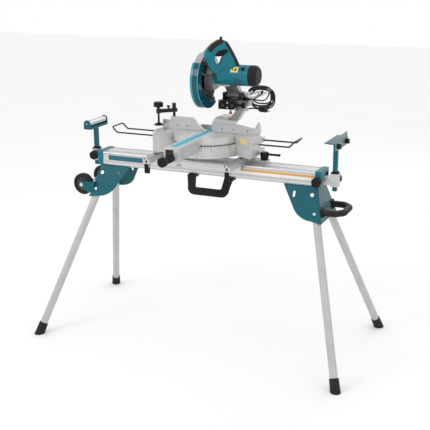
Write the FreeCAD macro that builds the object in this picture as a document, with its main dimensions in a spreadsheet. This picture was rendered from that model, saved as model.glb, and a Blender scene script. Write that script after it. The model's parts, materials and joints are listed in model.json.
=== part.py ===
"""Mitre saw on a folding stand, in millimetres.

The origin is on the floor under the middle of the stand's beam. X runs along the beam to the right,
Y runs from the user towards the back and Z is up. The saw head is up and fully back.
"""

import FreeCAD, Part
import math
import os
import Sketcher
from FreeCAD import Placement, Rotation, Vector

doc = FreeCAD.newDocument("MitreSawOnStand")
sheet = doc.addObject("Spreadsheet::Sheet", "Sizes")

DRIVING_SIZES = [
    # Stand beam and what slides in it
    ("beam_length", 1150), ("beam_width", 120), ("beam_bottom", 855), ("beam_top", 926),
    ("beam_wall", 3.5), ("beam_corner", 9), ("label_band_low", 882), ("label_band_high", 910),
    ("label_band_depth", 1.5), ("top_groove_width", 9), ("top_groove_depth", 4), ("top_groove_y", 36),
    ("tube_width", 36), ("tube_height", 37), ("tube_z", 883), ("tube_y", 22), ("tube_wall", 3),
    ("tube_end", 643), ("tube_length", 880), ("slide_gap", 0.5),
    ("cap_length", 28), ("cap_overhang", 3),
    # Work supports at the two ends
    ("support_x", 660), ("block_length", 38), ("block_width", 38), ("block_low", 858), ("block_high", 920),
    ("post_size", 20), ("post_wall", 2), ("post_low", 835), ("left_post_top", 1034),
    ("roller_z", 1062), ("roller_diameter", 34), ("roller_length", 160), ("roller_axle", 8),
    ("table_top", 1081), ("table_length", 200), ("table_width", 52), ("table_sheet", 4),
    ("stop_low", 1052), ("stop_high", 1108), ("stop_length", 182),
    ("knob_diameter", 46), ("knob_depth", 22),
    # Legs and their brackets
    ("foot_x", 804), ("leg_splay", 22.9), ("leg_diameter", 38), ("leg_wall", 2),
    ("leg_plane_y", 33), ("pivot_x", 569), ("pivot_drop", 51), ("lock_drop", 139),
    ("plate_inner_x", 420), ("plate_depth", 182), ("plate_gap", 20), ("plate_sheet", 4),
    ("closure_x", 585), ("closure_slope", 0.24), ("closure_sheet", 3), ("closure_low", 694),
    ("pivot_bolt_diameter", 12), ("lock_bolt_diameter", 9), ("bolt_clearance", 0.05),
    ("foot_diameter", 50), ("foot_length", 62),
    # Wheels and handles
    ("wheel_x", -675), ("wheel_z", 753), ("wheel_y", 97), ("wheel_diameter", 112), ("wheel_width", 26),
    ("axle_diameter", 12), ("tongue_y", 113), ("tongue_sheet", 4),
    ("tow_z", 741), ("tow_reach", 732), ("tow_half_width", 82), ("tow_tube", 32), ("tow_chamfer", 34),
    ("grip_left", -81), ("grip_right", 162), ("grip_drop", 112), ("grip_bar", 38), ("grip_width", 22),
    # Saw mounting arms
    ("saw_x", -7), ("arm_centre", -18), ("arm_spacing", 426), ("arm_width", 34), ("arm_height", 30),
    ("arm_front", -220),
    ("arm_rear", 225), ("arm_slot", 8), ("arm_slot_depth", 9),
    # Saw base, turntable and fence
    ("base_bottom", 963), ("table_z", 1060), ("turntable_y", 10), ("turntable_radius", 170),
    ("turntable_bottom", 1026), ("scale_radius", 182), ("scale_top", 1022), ("turntable_gap", 1.5),
    ("spindle_radius", 25), ("nose_front", -400), ("nose_low", 1000), ("kerf_width", 8), ("kerf_front", -362),
    ("kerf_rear", 66), ("board_width", 48), ("board_depth", 5), ("fence_y", 12), ("fence_thickness", 12),
    ("fence_low", 1061), ("fence_high", 1104), ("left_sub_fence_top", 1122), ("right_sub_fence_top", 1122),
    ("wire_diameter", 8), ("wire_z", 1010), ("wire_front_y", 38),
    ("wire_rear_y", 148), ("mitre_grip_z", 1014), ("mitre_grip_front", -500), ("mitre_grip_diameter", 45),
    # Saw head
    ("bevel_rear", 240), ("bevel_front", 196), ("pole_z", 1190), ("pole_right_x", 105), ("pole_left_x", 55),
    ("pole_diameter", 28), ("pole_front", 60), ("pole_rear", 500), ("running_gap", 0.06),
    ("chop_y", 150), ("chop_z", 1225), ("chop_pin_diameter", 14), ("blade_y", -5), ("blade_z", 1319),
    ("blade_diameter", 250), ("blade_thickness", 2.4), ("case_radius", 132), ("case_half_width", 17),
    ("guard_inner", 133.5), ("guard_outer", 136.5), ("guard_left", -28), ("guard_right", 14),
    ("guard_sheet", 2.5),
    ("motor_y", 10), ("motor_z", 1346), ("motor_radius", 50), ("motor_left", 45), ("motor_split", 222),
    ("motor_right", 262), ("handle_turn", 40), ("handle_x", 32), ("handle_y", -94), ("handle_thickness", 34),
    # Mains cord
    ("cord_diameter", 8), ("coil_x", 98), ("coil_y", 465), ("coil_z", 1170),
]
for row, (alias, value) in enumerate(DRIVING_SIZES, start=1):
    sheet.set("A%d" % row, alias)
    sheet.set("B%d" % row, str(value))
    sheet.setAlias("B%d" % row, alias)
doc.recompute()


class Size:
    """A number that remembers how it was worked out from the sheet, so that it can drive a property."""

    def __init__(self, value, text):
        self.value = value
        self.text = text

    def __add__(self, other):
        other = as_size(other)
        return Size(self.value + other.value, "(%s + %s)" % (self.text, other.text))

    def __sub__(self, other):
        other = as_size(other)
        return Size(self.value - other.value, "(%s - %s)" % (self.text, other.text))

    def __mul__(self, other):
        other = as_size(other)
        return Size(self.value * other.value, "(%s * %s)" % (self.text, other.text))

    def __truediv__(self, other):
        other = as_size(other)
        return Size(self.value / other.value, "(%s / %s)" % (self.text, other.text))

    def __radd__(self, other):
        return as_size(other) + self

    def __rsub__(self, other):
        return as_size(other) - self

    def __rmul__(self, other):
        return as_size(other) * self

    def __neg__(self):
        return self * -1

    def __float__(self):
        return self.value


def as_size(number):
    """Gives plain numbers the same two faces as a Size."""
    return number if isinstance(number, Size) else Size(float(number), "%.6f" % number)


class SheetSizes:
    """Reads every alias of the sheet as an attribute."""

    def __getattr__(self, alias):
        return Size(float(sheet.get(alias)), "Sizes." + alias)


size = SheetSizes()
nodes = []


# ---------------------------------------------------------------- building blocks

PLANES = {"XY": ("XY_Plane", 1), "XZ": ("XZ_Plane", -1), "YZ": ("YZ_Plane", 1)}


def drive(target, **properties):
    """Binds properties to sheet expressions; a double underscore stands for a dot."""
    for name, number in properties.items():
        target.setExpression(name.replace("__", "."), as_size(number).text)


def keep(thing, label):
    """Names a finished sub-part and puts it on the list that is written out."""
    thing.Label = label
    nodes.append(thing)
    return thing


def place(thing, x=0, y=0, z=0, rotation=None):
    """Sets a placement whose position follows the sheet."""
    if rotation is not None:
        thing.Placement = Placement(Vector(0, 0, 0), rotation)
    drive(thing, Placement__Base__x=x, Placement__Base__y=y, Placement__Base__z=z)
    return thing


def new_body(label):
    """Starts a PartDesign body for one sub-part."""
    body = doc.addObject("PartDesign::Body", label + "_body")
    return keep(body, label)


def new_sketch(body, plane, level):
    """Attaches a sketch to one of the body's own origin planes, moved along X, Y or Z to a level."""
    role, sign = PLANES[plane]
    sketch = body.newObject("Sketcher::SketchObject", "Profile")
    support = [feature for feature in body.Origin.OriginFeatures if feature.Role == role][0]
    sketch.AttachmentSupport = [(support, "")]
    sketch.MapMode = "FlatFace"
    drive(sketch, AttachmentOffset__Base__z=as_size(level) * sign)
    return sketch


def fix_point(sketch, geometry, point, x, y):
    """Fixes a sketch point's two coordinates, bound to the sheet where they come from it."""
    for kind, axis, number in (("DistanceX", -2, as_size(x)), ("DistanceY", -1, as_size(y))):
        if abs(number.value) < 1e-7:
            sketch.addConstraint(Sketcher.Constraint("PointOnObject", geometry, point, axis))
            continue
        index = sketch.addConstraint(Sketcher.Constraint(kind, -1, 1, geometry, point, number.value))
        if "Sizes" in number.text:
            sketch.setExpression("Constraints[%d]" % index, number.text)


def draw_outline(sketch, points):
    """Draws a closed outline. A point with a third value, (x, y, via), is reached by an arc through via."""
    corners = [Vector(float(point[0]), float(point[1]), 0) for point in points]
    count = len(corners)
    ends = []
    for i in range(count):
        after = (i + 1) % count
        if len(points[after]) == 3:
            via = Vector(*points[after][2], 0)
            index = sketch.addGeometry(Part.Arc(corners[i], via, corners[after]))
            chord = corners[after] - corners[i]
            centre = sketch.Geometry[index].Center
            kind, level = ("DistanceY", centre.y) if abs(chord.x) > abs(chord.y) else ("DistanceX", centre.x)
            sketch.addConstraint(Sketcher.Constraint(kind, -1, 1, index, 3, level))
            forward = sketch.getPoint(index, 1).distanceToPoint(corners[i]) < 1e-4
            ends.append((index, 1, 2) if forward else (index, 2, 1))
        else:
            index = sketch.addGeometry(Part.LineSegment(corners[i], corners[after]))
            ends.append((index, 1, 2))
    for i in range(count):
        index, _, finish = ends[i]
        following, start, _ = ends[(i + 1) % count]
        sketch.addConstraint(Sketcher.Constraint("Coincident", index, finish, following, start))
        fix_point(sketch, ends[i][0], ends[i][1], points[i][0], points[i][1])


def draw_circle(sketch, x, y, radius):
    """Draws one full circle."""
    index = sketch.addGeometry(Part.Circle(Vector(float(x), float(y), 0), Vector(0, 0, 1), float(radius)))
    fix_point(sketch, index, 3, x, y)
    number = as_size(radius)
    constraint = sketch.addConstraint(Sketcher.Constraint("Radius", index, number.value))
    if "Sizes" in number.text:
        sketch.setExpression("Constraints[%d]" % constraint, number.text)


def draw(sketch, shapes):
    """Draws outlines (lists of points) and circles (tuples of x, y, radius)."""
    for shape in shapes:
        if isinstance(shape, tuple):
            draw_circle(sketch, *shape)
        else:
            draw_outline(sketch, shape)


def rectangle(x0, x1, y0, y1):
    """The four corners of a rectangle."""
    return [(x0, y0), (x1, y0), (x1, y1), (x0, y1)]


def pad(body, plane, low, high, *shapes):
    """Pads shapes between two levels along the plane's world axis."""
    start = high if plane == "XZ" else low
    sketch = new_sketch(body, plane, start)
    draw(sketch, shapes)
    feature = body.newObject("PartDesign::Pad", "Pad")
    feature.Profile = sketch
    drive(feature, Length=as_size(high) - low)
    return feature


def pocket(body, plane, low, high, *shapes):
    """Cuts shapes out of the body between two levels along the plane's world axis."""
    doc.recompute()
    before = body.Shape.Volume
    start = low if plane == "XZ" else high
    sketch = new_sketch(body, plane, start)
    draw(sketch, shapes)
    feature = body.newObject("PartDesign::Pocket", "Pocket")
    feature.Profile = sketch
    drive(feature, Length=as_size(high) - low)
    doc.recompute()
    if body.Shape.Volume > before - 1:
        raise RuntimeError("a pocket in %s cuts nothing" % body.Label)
    return feature


def turn(body, plane, profile):
    """Revolves a profile of (radius, height) points about the plane's vertical axis."""
    sketch = new_sketch(body, plane, 0)
    draw_outline(sketch, profile)
    feature = body.newObject("PartDesign::Revolution", "Turning")
    feature.Profile = sketch
    feature.ReferenceAxis = (sketch, ["V_Axis"])
    feature.Angle = 360
    return feature


def edges_that(shape, wanted):
    """Names of the edges for which wanted(edge) is true."""
    return ["Edge%d" % i for i, edge in enumerate(shape.Edges, start=1) if wanted(edge)]


def runs_along(direction, *conditions):
    """A test for straight edges parallel to a direction whose middle meets every condition."""
    def wanted(edge):
        if edge.Curve.TypeId != "Part::GeomLine":
            return False
        along = edge.Curve.Direction
        if abs(abs(along.dot(direction)) - 1) > 1e-6:
            return False
        return all(condition(edge.CenterOfMass) for condition in conditions)
    return wanted


def round_edges(body, radius, wanted):
    """Fillets the chosen edges of a PartDesign body."""
    doc.recompute()
    base = body.Tip
    names = edges_that(base.Shape, wanted)
    if not names:
        raise RuntimeError("no edge to round in " + body.Label)
    feature = body.newObject("PartDesign::Fillet", "Rounding")
    feature.Base = (base, names)
    drive(feature, Radius=radius)
    doc.recompute()
    return feature


def block(x0, x1, y0, y1, z0, z1):
    """A box between two corners."""
    shape = doc.addObject("Part::Box", "Block")
    drive(shape, Length=as_size(x1) - x0, Width=as_size(y1) - y0, Height=as_size(z1) - z0)
    return place(shape, x0, y0, z0)


TO_AXIS = {
    "X": Rotation(Vector(0, 1, 0), 90),
    "Y": Rotation(Vector(1, 0, 0), -90),
    "Z": Rotation(Vector(0, 0, 1), 0),
}


def rod(axis, radius, low, high, first, second):
    """A cylinder along a world axis between two levels; first and second are its other two coordinates."""
    shape = doc.addObject("Part::Cylinder", "Round")
    drive(shape, Radius=radius, Height=as_size(high) - low)
    position = {"X": (low, first, second), "Y": (first, low, second), "Z": (first, second, low)}[axis]
    return place(shape, *position, rotation=TO_AXIS[axis])


def cone(axis, radius_low, radius_high, low, high, first, second):
    """A cone along a world axis, with its radii at the low and the high level."""
    shape = doc.addObject("Part::Cone", "Taper")
    drive(shape, Radius1=radius_low, Radius2=radius_high, Height=as_size(high) - low)
    position = {"X": (low, first, second), "Y": (first, low, second), "Z": (first, second, low)}[axis]
    return place(shape, *position, rotation=TO_AXIS[axis])


def fuse(*shapes):
    """Joins shapes into one."""
    joined = doc.addObject("Part::MultiFuse", "Joined")
    joined.Shapes = list(shapes)
    joined.Refine = True
    return joined


def group(*shapes):
    """Keeps separate solids together in one sub-part."""
    together = doc.addObject("Part::Compound", "Group")
    together.Links = list(shapes)
    return together


def cut(base, *tools):
    """Cuts tools out of a base."""
    result = doc.addObject("Part::Cut", "Cut")
    result.Base = base
    result.Tool = tools[0] if len(tools) == 1 else fuse(*tools)
    return result


def common(first, second):
    """Keeps what two shapes share."""
    result = doc.addObject("Part::Common", "Shared")
    result.Base = first
    result.Tool = second
    return result


def bent_path(points, radius_of):
    """A wire of straight runs joined by tangent arcs, and the list of its arc radii."""
    edges = []
    radii = []
    start = points[0]
    for i in range(1, len(points) - 1):
        before = points[i] - points[i - 1]
        after = points[i + 1] - points[i]
        half_turn = before.getAngle(after) / 2
        radius = radius_of(before.Length, after.Length, half_turn)
        reach = radius * math.tan(half_turn)
        into = points[i] - before.normalize() * reach
        out = points[i] + after.normalize() * reach
        middle = (into + out) / 2
        inward = (middle - points[i]).normalize()
        apex = points[i] + inward * (radius / math.cos(half_turn) - radius)
        edges.append(Part.LineSegment(start, into).toShape())
        edges.append(Part.Arc(into, apex, out).toShape())
        radii.append(radius)
        start = out
    edges.append(Part.LineSegment(start, points[-1]).toShape())
    return Part.Wire(edges), radii


def bent_rod(label, points, thickness, radius_of):
    """A round rod swept along a bent path, checked against its section times its length."""
    path, radii = bent_path(points, radius_of)
    heading = points[1] - points[0]
    ring = Part.Wire(Part.Circle(points[0], heading, thickness / 2).toShape())
    solid = path.makePipeShell([ring], True, False)
    expected = math.pi * thickness ** 2 / 4 * path.Length
    if abs(solid.Volume / expected - 1) > 0.01:
        raise RuntimeError("%s has the wrong volume" % label)
    feature = doc.addObject("Part::Feature", label + "_rod")
    feature.Shape = solid
    return feature, path.Length, radii


def fixed_bend(radius):
    """A bend rule with one radius for every corner."""
    return lambda before, after, half_turn: radius


# ---------------------------------------------------------------- places worked out from the sheet

X_DIRECTION = Vector(1, 0, 0)
Y_DIRECTION = Vector(0, 1, 0)
Z_DIRECTION = Vector(0, 0, 1)
HALF_TURN = Rotation(Z_DIRECTION, 180)
FRONT, REAR = -1, 1
splay = math.radians(size.leg_splay.value)
foot_slope = size.beam_bottom.value / math.cos(splay)
leg_lean = math.atan2(size.foot_x.value - size.pivot_x.value, foot_slope - size.pivot_drop.value)
leg_length = math.hypot(size.foot_x.value - size.pivot_x.value, foot_slope - size.pivot_drop.value)
lock_reach = (size.lock_drop.value - size.pivot_drop.value) / math.cos(leg_lean)
lock_x = size.pivot_x.value + math.sin(leg_lean) * lock_reach


def slope_frame(side):
    """Where the plane of the front or rear legs meets the beam's underside, and how that plane lies."""
    origin = Vector(0, side * size.leg_plane_y.value, size.beam_bottom.value)
    up_slope = Vector(0, -side * math.sin(splay), math.cos(splay))
    normal = X_DIRECTION.cross(up_slope)
    return origin, up_slope, normal


def slope_point(side, x, drop, out=0):
    """A point given by x, its distance down the slope and its distance outwards from the leg plane."""
    origin, up_slope, normal = slope_frame(side)
    return origin + X_DIRECTION * x - up_slope * drop + normal * (-side * out)


def slope_rotation(side):
    """Turns a sketch's plane into the leg plane."""
    _, up_slope, normal = slope_frame(side)
    return Rotation(X_DIRECTION, up_slope, normal, "XYZ")


def slope_sheet(side, inner, outer, *shapes):
    """A plate parallel to the leg plane, between two distances outwards, drawn in (x, distance down)."""
    inner, outer = float(inner), float(outer)
    start = slope_point(side, 0, 0, inner if side == FRONT else outer)
    sketch = doc.addObject("Sketcher::SketchObject", "SlopeProfile")
    sketch.Placement = Placement(start, slope_rotation(side))
    flipped = []
    for shape in shapes:
        if isinstance(shape, tuple):
            flipped.append((shape[0], -as_size(shape[1]), shape[2]))
            continue
        flipped.append([
            (point[0], -as_size(point[1])) + tuple((via[0], -via[1]) for via in point[2:])
            for point in shape])
    draw(sketch, flipped)
    plate = doc.addObject("Part::Extrusion", "SlopePlate")
    plate.Base = sketch
    plate.DirMode = "Normal"
    plate.LengthFwd = outer - inner
    plate.Solid = True
    return plate


def slope_rod(side, x, drop, radius, inner, outer):
    """A cylinder square to the leg plane."""
    shape = doc.addObject("Part::Cylinder", "SlopeRound")
    low, high = (inner, outer) if side == FRONT else (outer, inner)
    drive(shape, Radius=radius)
    shape.Height = abs(outer - inner)
    shape.Placement = Placement(slope_point(side, x, drop, low), slope_rotation(side))
    return shape


# ---------------------------------------------------------------- beam and end caps

def make_beam():
    """Aluminium extrusion with two channels for the extension tubes and a label band on each face."""
    body = new_body("beam")
    half = size.beam_width / 2
    ends = (-size.beam_length / 2, size.beam_length / 2)
    pad(body, "YZ", *ends, rectangle(-half, half, size.beam_bottom, size.beam_top))
    round_edges(body, size.beam_corner, runs_along(X_DIRECTION))
    channels = []
    side_cavity = 45
    groove_low = size.beam_top - size.top_groove_depth
    for side in (-1, 1):
        reach = size.tube_width / 2 + size.slide_gap
        rise = size.tube_height / 2 + size.slide_gap
        middle = size.tube_y * side
        channels.append(rectangle(middle - reach, middle + reach, size.tube_z - rise, size.tube_z + rise))
        near, far = sorted((side * side_cavity, side * (half.value - size.beam_wall.value - 1.5)))
        channels.append(rectangle(near, far, size.beam_bottom + 12, size.beam_top - 12))
        near, far = sorted((side * 6, side * 28))
        channels.append(rectangle(near, far, size.tube_z + rise + 3, groove_low - 3))
    pocket(body, "YZ", *ends, *channels)
    bands = []
    for side in (-1, 1):
        near, far = sorted((half * side, (half - size.label_band_depth) * side), key=float)
        bands.append(rectangle(near, far, size.label_band_low, size.label_band_high))
        middle = size.top_groove_y * side
        reach = size.top_groove_width / 2
        bands.append(rectangle(middle - reach, middle + reach, groove_low, size.beam_top))
    pocket(body, "YZ", *ends, *bands)


def make_end_cap(label, turned_round):
    """Moulded cap with the tube's way out, a moulded recess and the boss of the lock screw."""
    body = new_body(label)
    end = size.beam_length / 2
    half = size.beam_width / 2 + size.cap_overhang
    top = size.beam_top + size.cap_overhang
    pad(body, "YZ", end, end + size.cap_length, rectangle(-half, half, size.beam_bottom, top))
    round_edges(body, 10, runs_along(X_DIRECTION, lambda middle: middle.z > size.tube_z.value))
    boss_x = end + size.cap_length / 2
    pad(body, "XZ", -half - 10, -half, (boss_x, size.tube_z, 13))
    reach = size.tube_width / 2 + size.slide_gap
    rise = size.tube_height / 2 + size.slide_gap
    middle = -size.tube_y
    pocket(body, "YZ", end, end + size.cap_length,
           rectangle(middle - reach, middle + reach, size.tube_z - rise, size.tube_z + rise))
    pocket(body, "YZ", end + 8, end + size.cap_length,
           rectangle(6, half - 7, size.beam_bottom + 9, top - 18))
    pocket(body, "XZ", -half - 10, middle - reach, (boss_x, size.tube_z, 5.1))
    place(body, rotation=HALF_TURN if turned_round else None)


def star_knob(label, axis_point, direction, radius, depth, stem_radius, stem_length):
    """Hand knob with six finger hollows; its stem runs back from the knob's base along -direction."""
    body = new_body(label)
    pad(body, "XY", 0, depth, (0, 0, radius))
    round_edges(body, 3, lambda edge: abs(edge.CenterOfMass.z - depth) < 0.1)
    hollows = []
    for i in range(6):
        angle = math.radians(60 * i)
        reach = radius * 1.16
        hollows.append((reach * math.cos(angle), reach * math.sin(angle), radius * 0.26))
    pocket(body, "XY", 0, depth, *hollows)
    pad(body, "XY", -stem_length, 0, (0, 0, stem_radius))
    body.Placement = Placement(axis_point, Rotation(Z_DIRECTION, direction))


# ---------------------------------------------------------------- extensions and work supports

def make_extension(label, turned_round):
    """Square tube that slides in the beam, with the clamp block for the post at its end."""
    half_width = size.tube_width / 2
    half_height = size.tube_height / 2
    start = size.tube_end - size.tube_length
    y = -size.tube_y
    tube = block(start, size.tube_end, y - half_width, y + half_width,
                 size.tube_z - half_height, size.tube_z + half_height)
    bore = block(start, size.tube_end, y - half_width + size.tube_wall, y + half_width - size.tube_wall,
                 size.tube_z - half_height + size.tube_wall, size.tube_z + half_height - size.tube_wall)
    clamp = block(size.support_x - size.block_length / 2, size.support_x + size.block_length / 2,
                  y - size.block_width / 2, y + size.block_width / 2, size.block_low, size.block_high)
    reach = size.post_size / 2 + 0.3
    way = block(size.support_x - reach, size.support_x + reach, y - reach, y + reach,
                size.block_low, size.block_high)
    screw_way = rod("Y", 4.1, y, y + size.block_width / 2, size.support_x, 888)
    whole = cut(fuse(cut(tube, bore), clamp), way, screw_way)
    keep(place(whole, rotation=HALF_TURN if turned_round else None), label)


def square_tube(x, y, low, high, outside, wall):
    """An upright square tube."""
    half = as_size(outside) / 2
    inner = half - wall
    return cut(block(x - half, x + half, y - half, y + half, low, high),
               block(x - inner, x + inner, y - inner, y + inner, low, high))


def make_roller_post():
    """Left work support: post with a channel and two end plates that carry the roller."""
    x, y = size.support_x, -size.tube_y
    post = square_tube(x, y, size.post_low, size.left_post_top, size.post_size, size.post_wall)
    inner = size.roller_length / 2 + 1.5
    outer = inner + 4
    floor = block(x - 19, x + 19, y - outer, y + outer, size.left_post_top, size.left_post_top + 4)
    walls = [block(x + side * 19 - 1.5, x + side * 19 + 1.5, y - outer, y + outer,
                   size.left_post_top, size.left_post_top + 13) for side in (-1, 1)]
    plates = []
    for low, high in ((y - outer, y - inner), (y + inner, y + outer)):
        cheek = fuse(block(x - 20, x + 20, low, high, size.left_post_top, size.roller_z),
                     rod("Y", 20, low, high, x, size.roller_z))
        plates.append(cut(cheek, rod("Y", size.roller_axle / 2 + 0.05, low, high, x, size.roller_z)))
    keep(place(fuse(post, floor, *walls, *plates), rotation=HALF_TURN), "support_post_left")


def make_roller():
    """Steel roller with its axle."""
    x, y = size.support_x, -size.tube_y
    half = size.roller_length / 2
    drum = rod("Y", size.roller_diameter / 2, y - half, y + half, x, size.roller_z)
    axle = rod("Y", size.roller_axle / 2, y - half - 7, y + half + 7, x, size.roller_z)
    keep(place(fuse(drum, axle), rotation=HALF_TURN), "roller")


def make_table_post():
    """Right work support: post with a folded steel table and the flange that holds the stop."""
    x, y = size.support_x, -size.tube_y
    underside = size.table_top - size.table_sheet
    post = square_tube(x, y, size.post_low, underside, size.post_size, size.post_wall)
    half = size.table_width / 2
    low, high = y - size.table_length / 2, y + size.table_length / 2
    table = block(x - half, x + half, low, high, underside, size.table_top)
    flange = block(x + half - size.table_sheet, x + half, low, high, size.stop_low - 8, size.table_top)
    ribs = [block(x - half + 6, x + half, y + side * 40 - 2, y + side * 40 + 2, underside - 14, underside)
            for side in (-1, 1)]
    holes = [rod("X", 3.3, x, x + half + 1, knob_y, knob_height) for knob_y in stop_knob_places]
    keep(cut(fuse(post, table, flange, *ribs), *holes), "support_post_right")


stop_knob_places = (-100, 30)
knob_height = 1066


def make_stop():
    """Stop plate that slides down behind the table's edge, and the two knobs that clamp it."""
    near = size.support_x + size.table_width / 2 + 0.3
    middle = -size.tube_y - 13
    low, high = middle - size.stop_length / 2, middle + size.stop_length / 2
    plate = block(near, near + 3, low, high, size.stop_low, size.stop_high)
    slots = [block(near, near + 3, y - 3.6, y + 3.6, knob_height - 5, knob_height + 36)
             for y in stop_knob_places]
    keep(cut(plate, *slots), "stop_plate")
    knobs = []
    for y in stop_knob_places:
        grip = rod("X", 12, near + 3.4, near + 20, y, knob_height)
        screw = rod("X", 3, size.support_x + size.table_width / 2 - 9, near + 4, y, knob_height)
        knobs.append(fuse(grip, screw))
    keep(group(*knobs), "stop_knobs")


# ---------------------------------------------------------------- leg brackets, legs, wheels and handles

def closure_at(drop):
    """How far out the bracket's end plate lies, at a distance down the slope."""
    return size.closure_x.value + size.closure_slope.value * drop


def make_bracket(label, turned_round, with_wheels):
    """Folded steel bracket: two sloping outer plates, two inner plates, a top web and an end plate."""
    top = size.plate_gap.value * math.tan(splay) + 2.2
    inner_face = size.plate_gap.value
    outer_face = inner_face + size.plate_sheet.value
    depth = size.plate_depth.value
    outer_outline = [(size.plate_inner_x, top), (closure_at(top), top), (closure_at(depth), depth),
                     (562, depth - 9), (480, 112, (514, 153))]
    inner_outline = [(540, top + 4), (closure_at(top + 4), top + 4), (closure_at(158), 158), (584, 158),
                     (556, 110)]
    bores = [(size.pivot_x, size.pivot_drop, size.pivot_bolt_diameter / 2 + size.bolt_clearance),
             (lock_x, size.lock_drop, size.lock_bolt_diameter / 2 + size.bolt_clearance)]
    slot = [(472, 44), (484, 44, (478, 38)), (484, 62), (472, 62, (478, 68))]
    pieces = []
    for side in (FRONT, REAR):
        pieces.append(slope_sheet(side, inner_face, outer_face, outer_outline, slot, *bores))
        pieces.append(slope_sheet(side, -outer_face, -inner_face, inner_outline, *bores))
    web_half = size.leg_plane_y + inner_face
    pieces.append(block(size.plate_inner_x, size.closure_x + 2, -web_half, web_half,
                        size.beam_bottom - size.plate_sheet, size.beam_bottom))
    low = size.closure_low
    fall = size.beam_bottom.value - low.value
    lean = size.closure_slope.value / math.cos(splay)
    thick = size.closure_sheet.value
    end_plate = doc.addObject("PartDesign::Body", "EndPlate")
    top_x = size.closure_x.value
    pad(end_plate, "XZ", -140, 140, [(top_x, size.beam_bottom), (top_x + thick, size.beam_bottom),
                                     (top_x + thick + lean * fall, low), (top_x + lean * fall, low)])
    trim = doc.addObject("PartDesign::Body", "EndPlateTrim")
    half_top = size.leg_plane_y.value + 24
    half_low = half_top + fall * math.tan(splay)
    pad(trim, "YZ", top_x - 5, top_x + 80, [(-half_top, size.beam_bottom), (half_top, size.beam_bottom),
                                            (half_low, low), (-half_low, low)])
    pieces.append(common(end_plate, trim))
    if with_wheels:
        pieces.extend(make_tongues())
    whole = fuse(*pieces)
    keep(place(whole, rotation=HALF_TURN if turned_round else None), label)


def make_tongues():
    """Upright plates outside the wheels, each with a gusset to the sloping plate."""
    pieces = []
    wheel_x, wheel_z = -size.wheel_x.value, size.wheel_z.value
    for side in (-1, 1):
        near, far = sorted((size.tongue_y * side, (size.tongue_y + size.tongue_sheet) * side), key=float)
        plate = doc.addObject("PartDesign::Body", "Tongue")
        pad(plate, "XZ", near, far, [
            (602, 714), (602, 772), (wheel_x, wheel_z + 19), (wheel_x, wheel_z - 19, (wheel_x + 19, wheel_z)),
            (640, 714)])
        pocket(plate, "XZ", near, far, (wheel_x, wheel_z, size.axle_diameter / 2 + size.bolt_clearance))
        gusset = doc.addObject("PartDesign::Body", "Gusset")
        outside = size.tongue_y + size.tongue_sheet
        pad(gusset, "YZ", 602, 613, [(side * 93, 772), (outside * side, 772), (outside * side, 717)])
        pieces.extend((plate, gusset))
    return pieces


def make_fasteners():
    """Pivot bolts, lock bolts and the wheel axle."""
    solids = []
    face = size.plate_gap.value + size.plate_sheet.value
    for side in (FRONT, REAR):
        for x, drop, diameter in ((size.pivot_x.value, size.pivot_drop.value, size.pivot_bolt_diameter.value),
                                  (lock_x, size.lock_drop.value, size.lock_bolt_diameter.value)):
            for turned_round in (False, True):
                bolt = fuse(slope_rod(side, x, drop, diameter / 2, -face - 7, face + 6),
                            slope_rod(side, x, drop, diameter * 0.8, face, face + 6),
                            slope_rod(side, x, drop, diameter * 0.75, -face - 7, -face))
                if turned_round:
                    place(bolt, rotation=HALF_TURN)
                solids.append(bolt)
    outside = size.tongue_y + size.tongue_sheet
    axle = rod("Y", size.axle_diameter / 2, -outside - 7, outside + 7, size.wheel_x, size.wheel_z)
    heads = [rod("Y", 10, low, high, size.wheel_x, size.wheel_z)
             for low, high in ((-outside - 7, -outside), (outside, outside + 7))]
    spacers = [rod("Y", 9, low, high, size.wheel_x, size.wheel_z)
               for low, high in ((-size.wheel_y + 13.3, -size.wheel_y + 17),
                                 (size.wheel_y - 17, size.wheel_y - 13.3))]
    solids.append(fuse(axle, *heads, *spacers))
    keep(group(*solids), "bracket_fasteners")


def leg_placement(side, turned_round):
    """Puts a leg's pivot at its bolt, with local Z up the leg and local Y outwards."""
    _, up_slope, normal = slope_frame(side)
    outward = normal * (-side)
    up_leg = up_slope * math.cos(leg_lean) - X_DIRECTION * math.sin(leg_lean)
    turned = Rotation(outward.cross(up_leg), outward, up_leg, "XYZ")
    seat = Placement(slope_point(side, size.pivot_x.value, size.pivot_drop.value), turned)
    return Placement(Vector(0, 0, 0), HALF_TURN).multiply(seat) if turned_round else seat


def make_leg(name, side, turned_round):
    """Round tube leg with its cross holes, and the rubber foot that stands flat on the floor."""
    seat = leg_placement(side, turned_round)
    leg = new_body("leg_" + name)
    radius = size.leg_diameter / 2
    tube_end = -leg_length + 22
    pad(leg, "XY", tube_end, 17, (0, 0, radius))
    pocket(leg, "XY", tube_end, 17, (0, 0, radius - size.leg_wall))
    pocket(leg, "XZ", -radius, radius,
           (0, 0, size.pivot_bolt_diameter / 2 + size.bolt_clearance),
           (0, -lock_reach, size.lock_bolt_diameter / 2 + size.bolt_clearance))
    leg.Placement = seat
    shoe = doc.addObject("Part::Cone", "Shoe")
    drive(shoe, Radius1=size.foot_diameter / 2, Radius2=size.foot_diameter / 2 - 2.5,
          Height=size.foot_length + 30)
    shoe.Placement = seat.multiply(Placement(Vector(0, 0, -leg_length - 30), Rotation()))
    socket = doc.addObject("Part::Cylinder", "Socket")
    drive(socket, Radius=radius + 0.05)
    socket.Height = 80
    socket.Placement = seat.multiply(Placement(Vector(0, 0, tube_end), Rotation()))
    floor = block(-1000, 1000, -600, 600, -100, 0)
    keep(cut(shoe, socket, floor), "foot_" + name)


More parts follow.
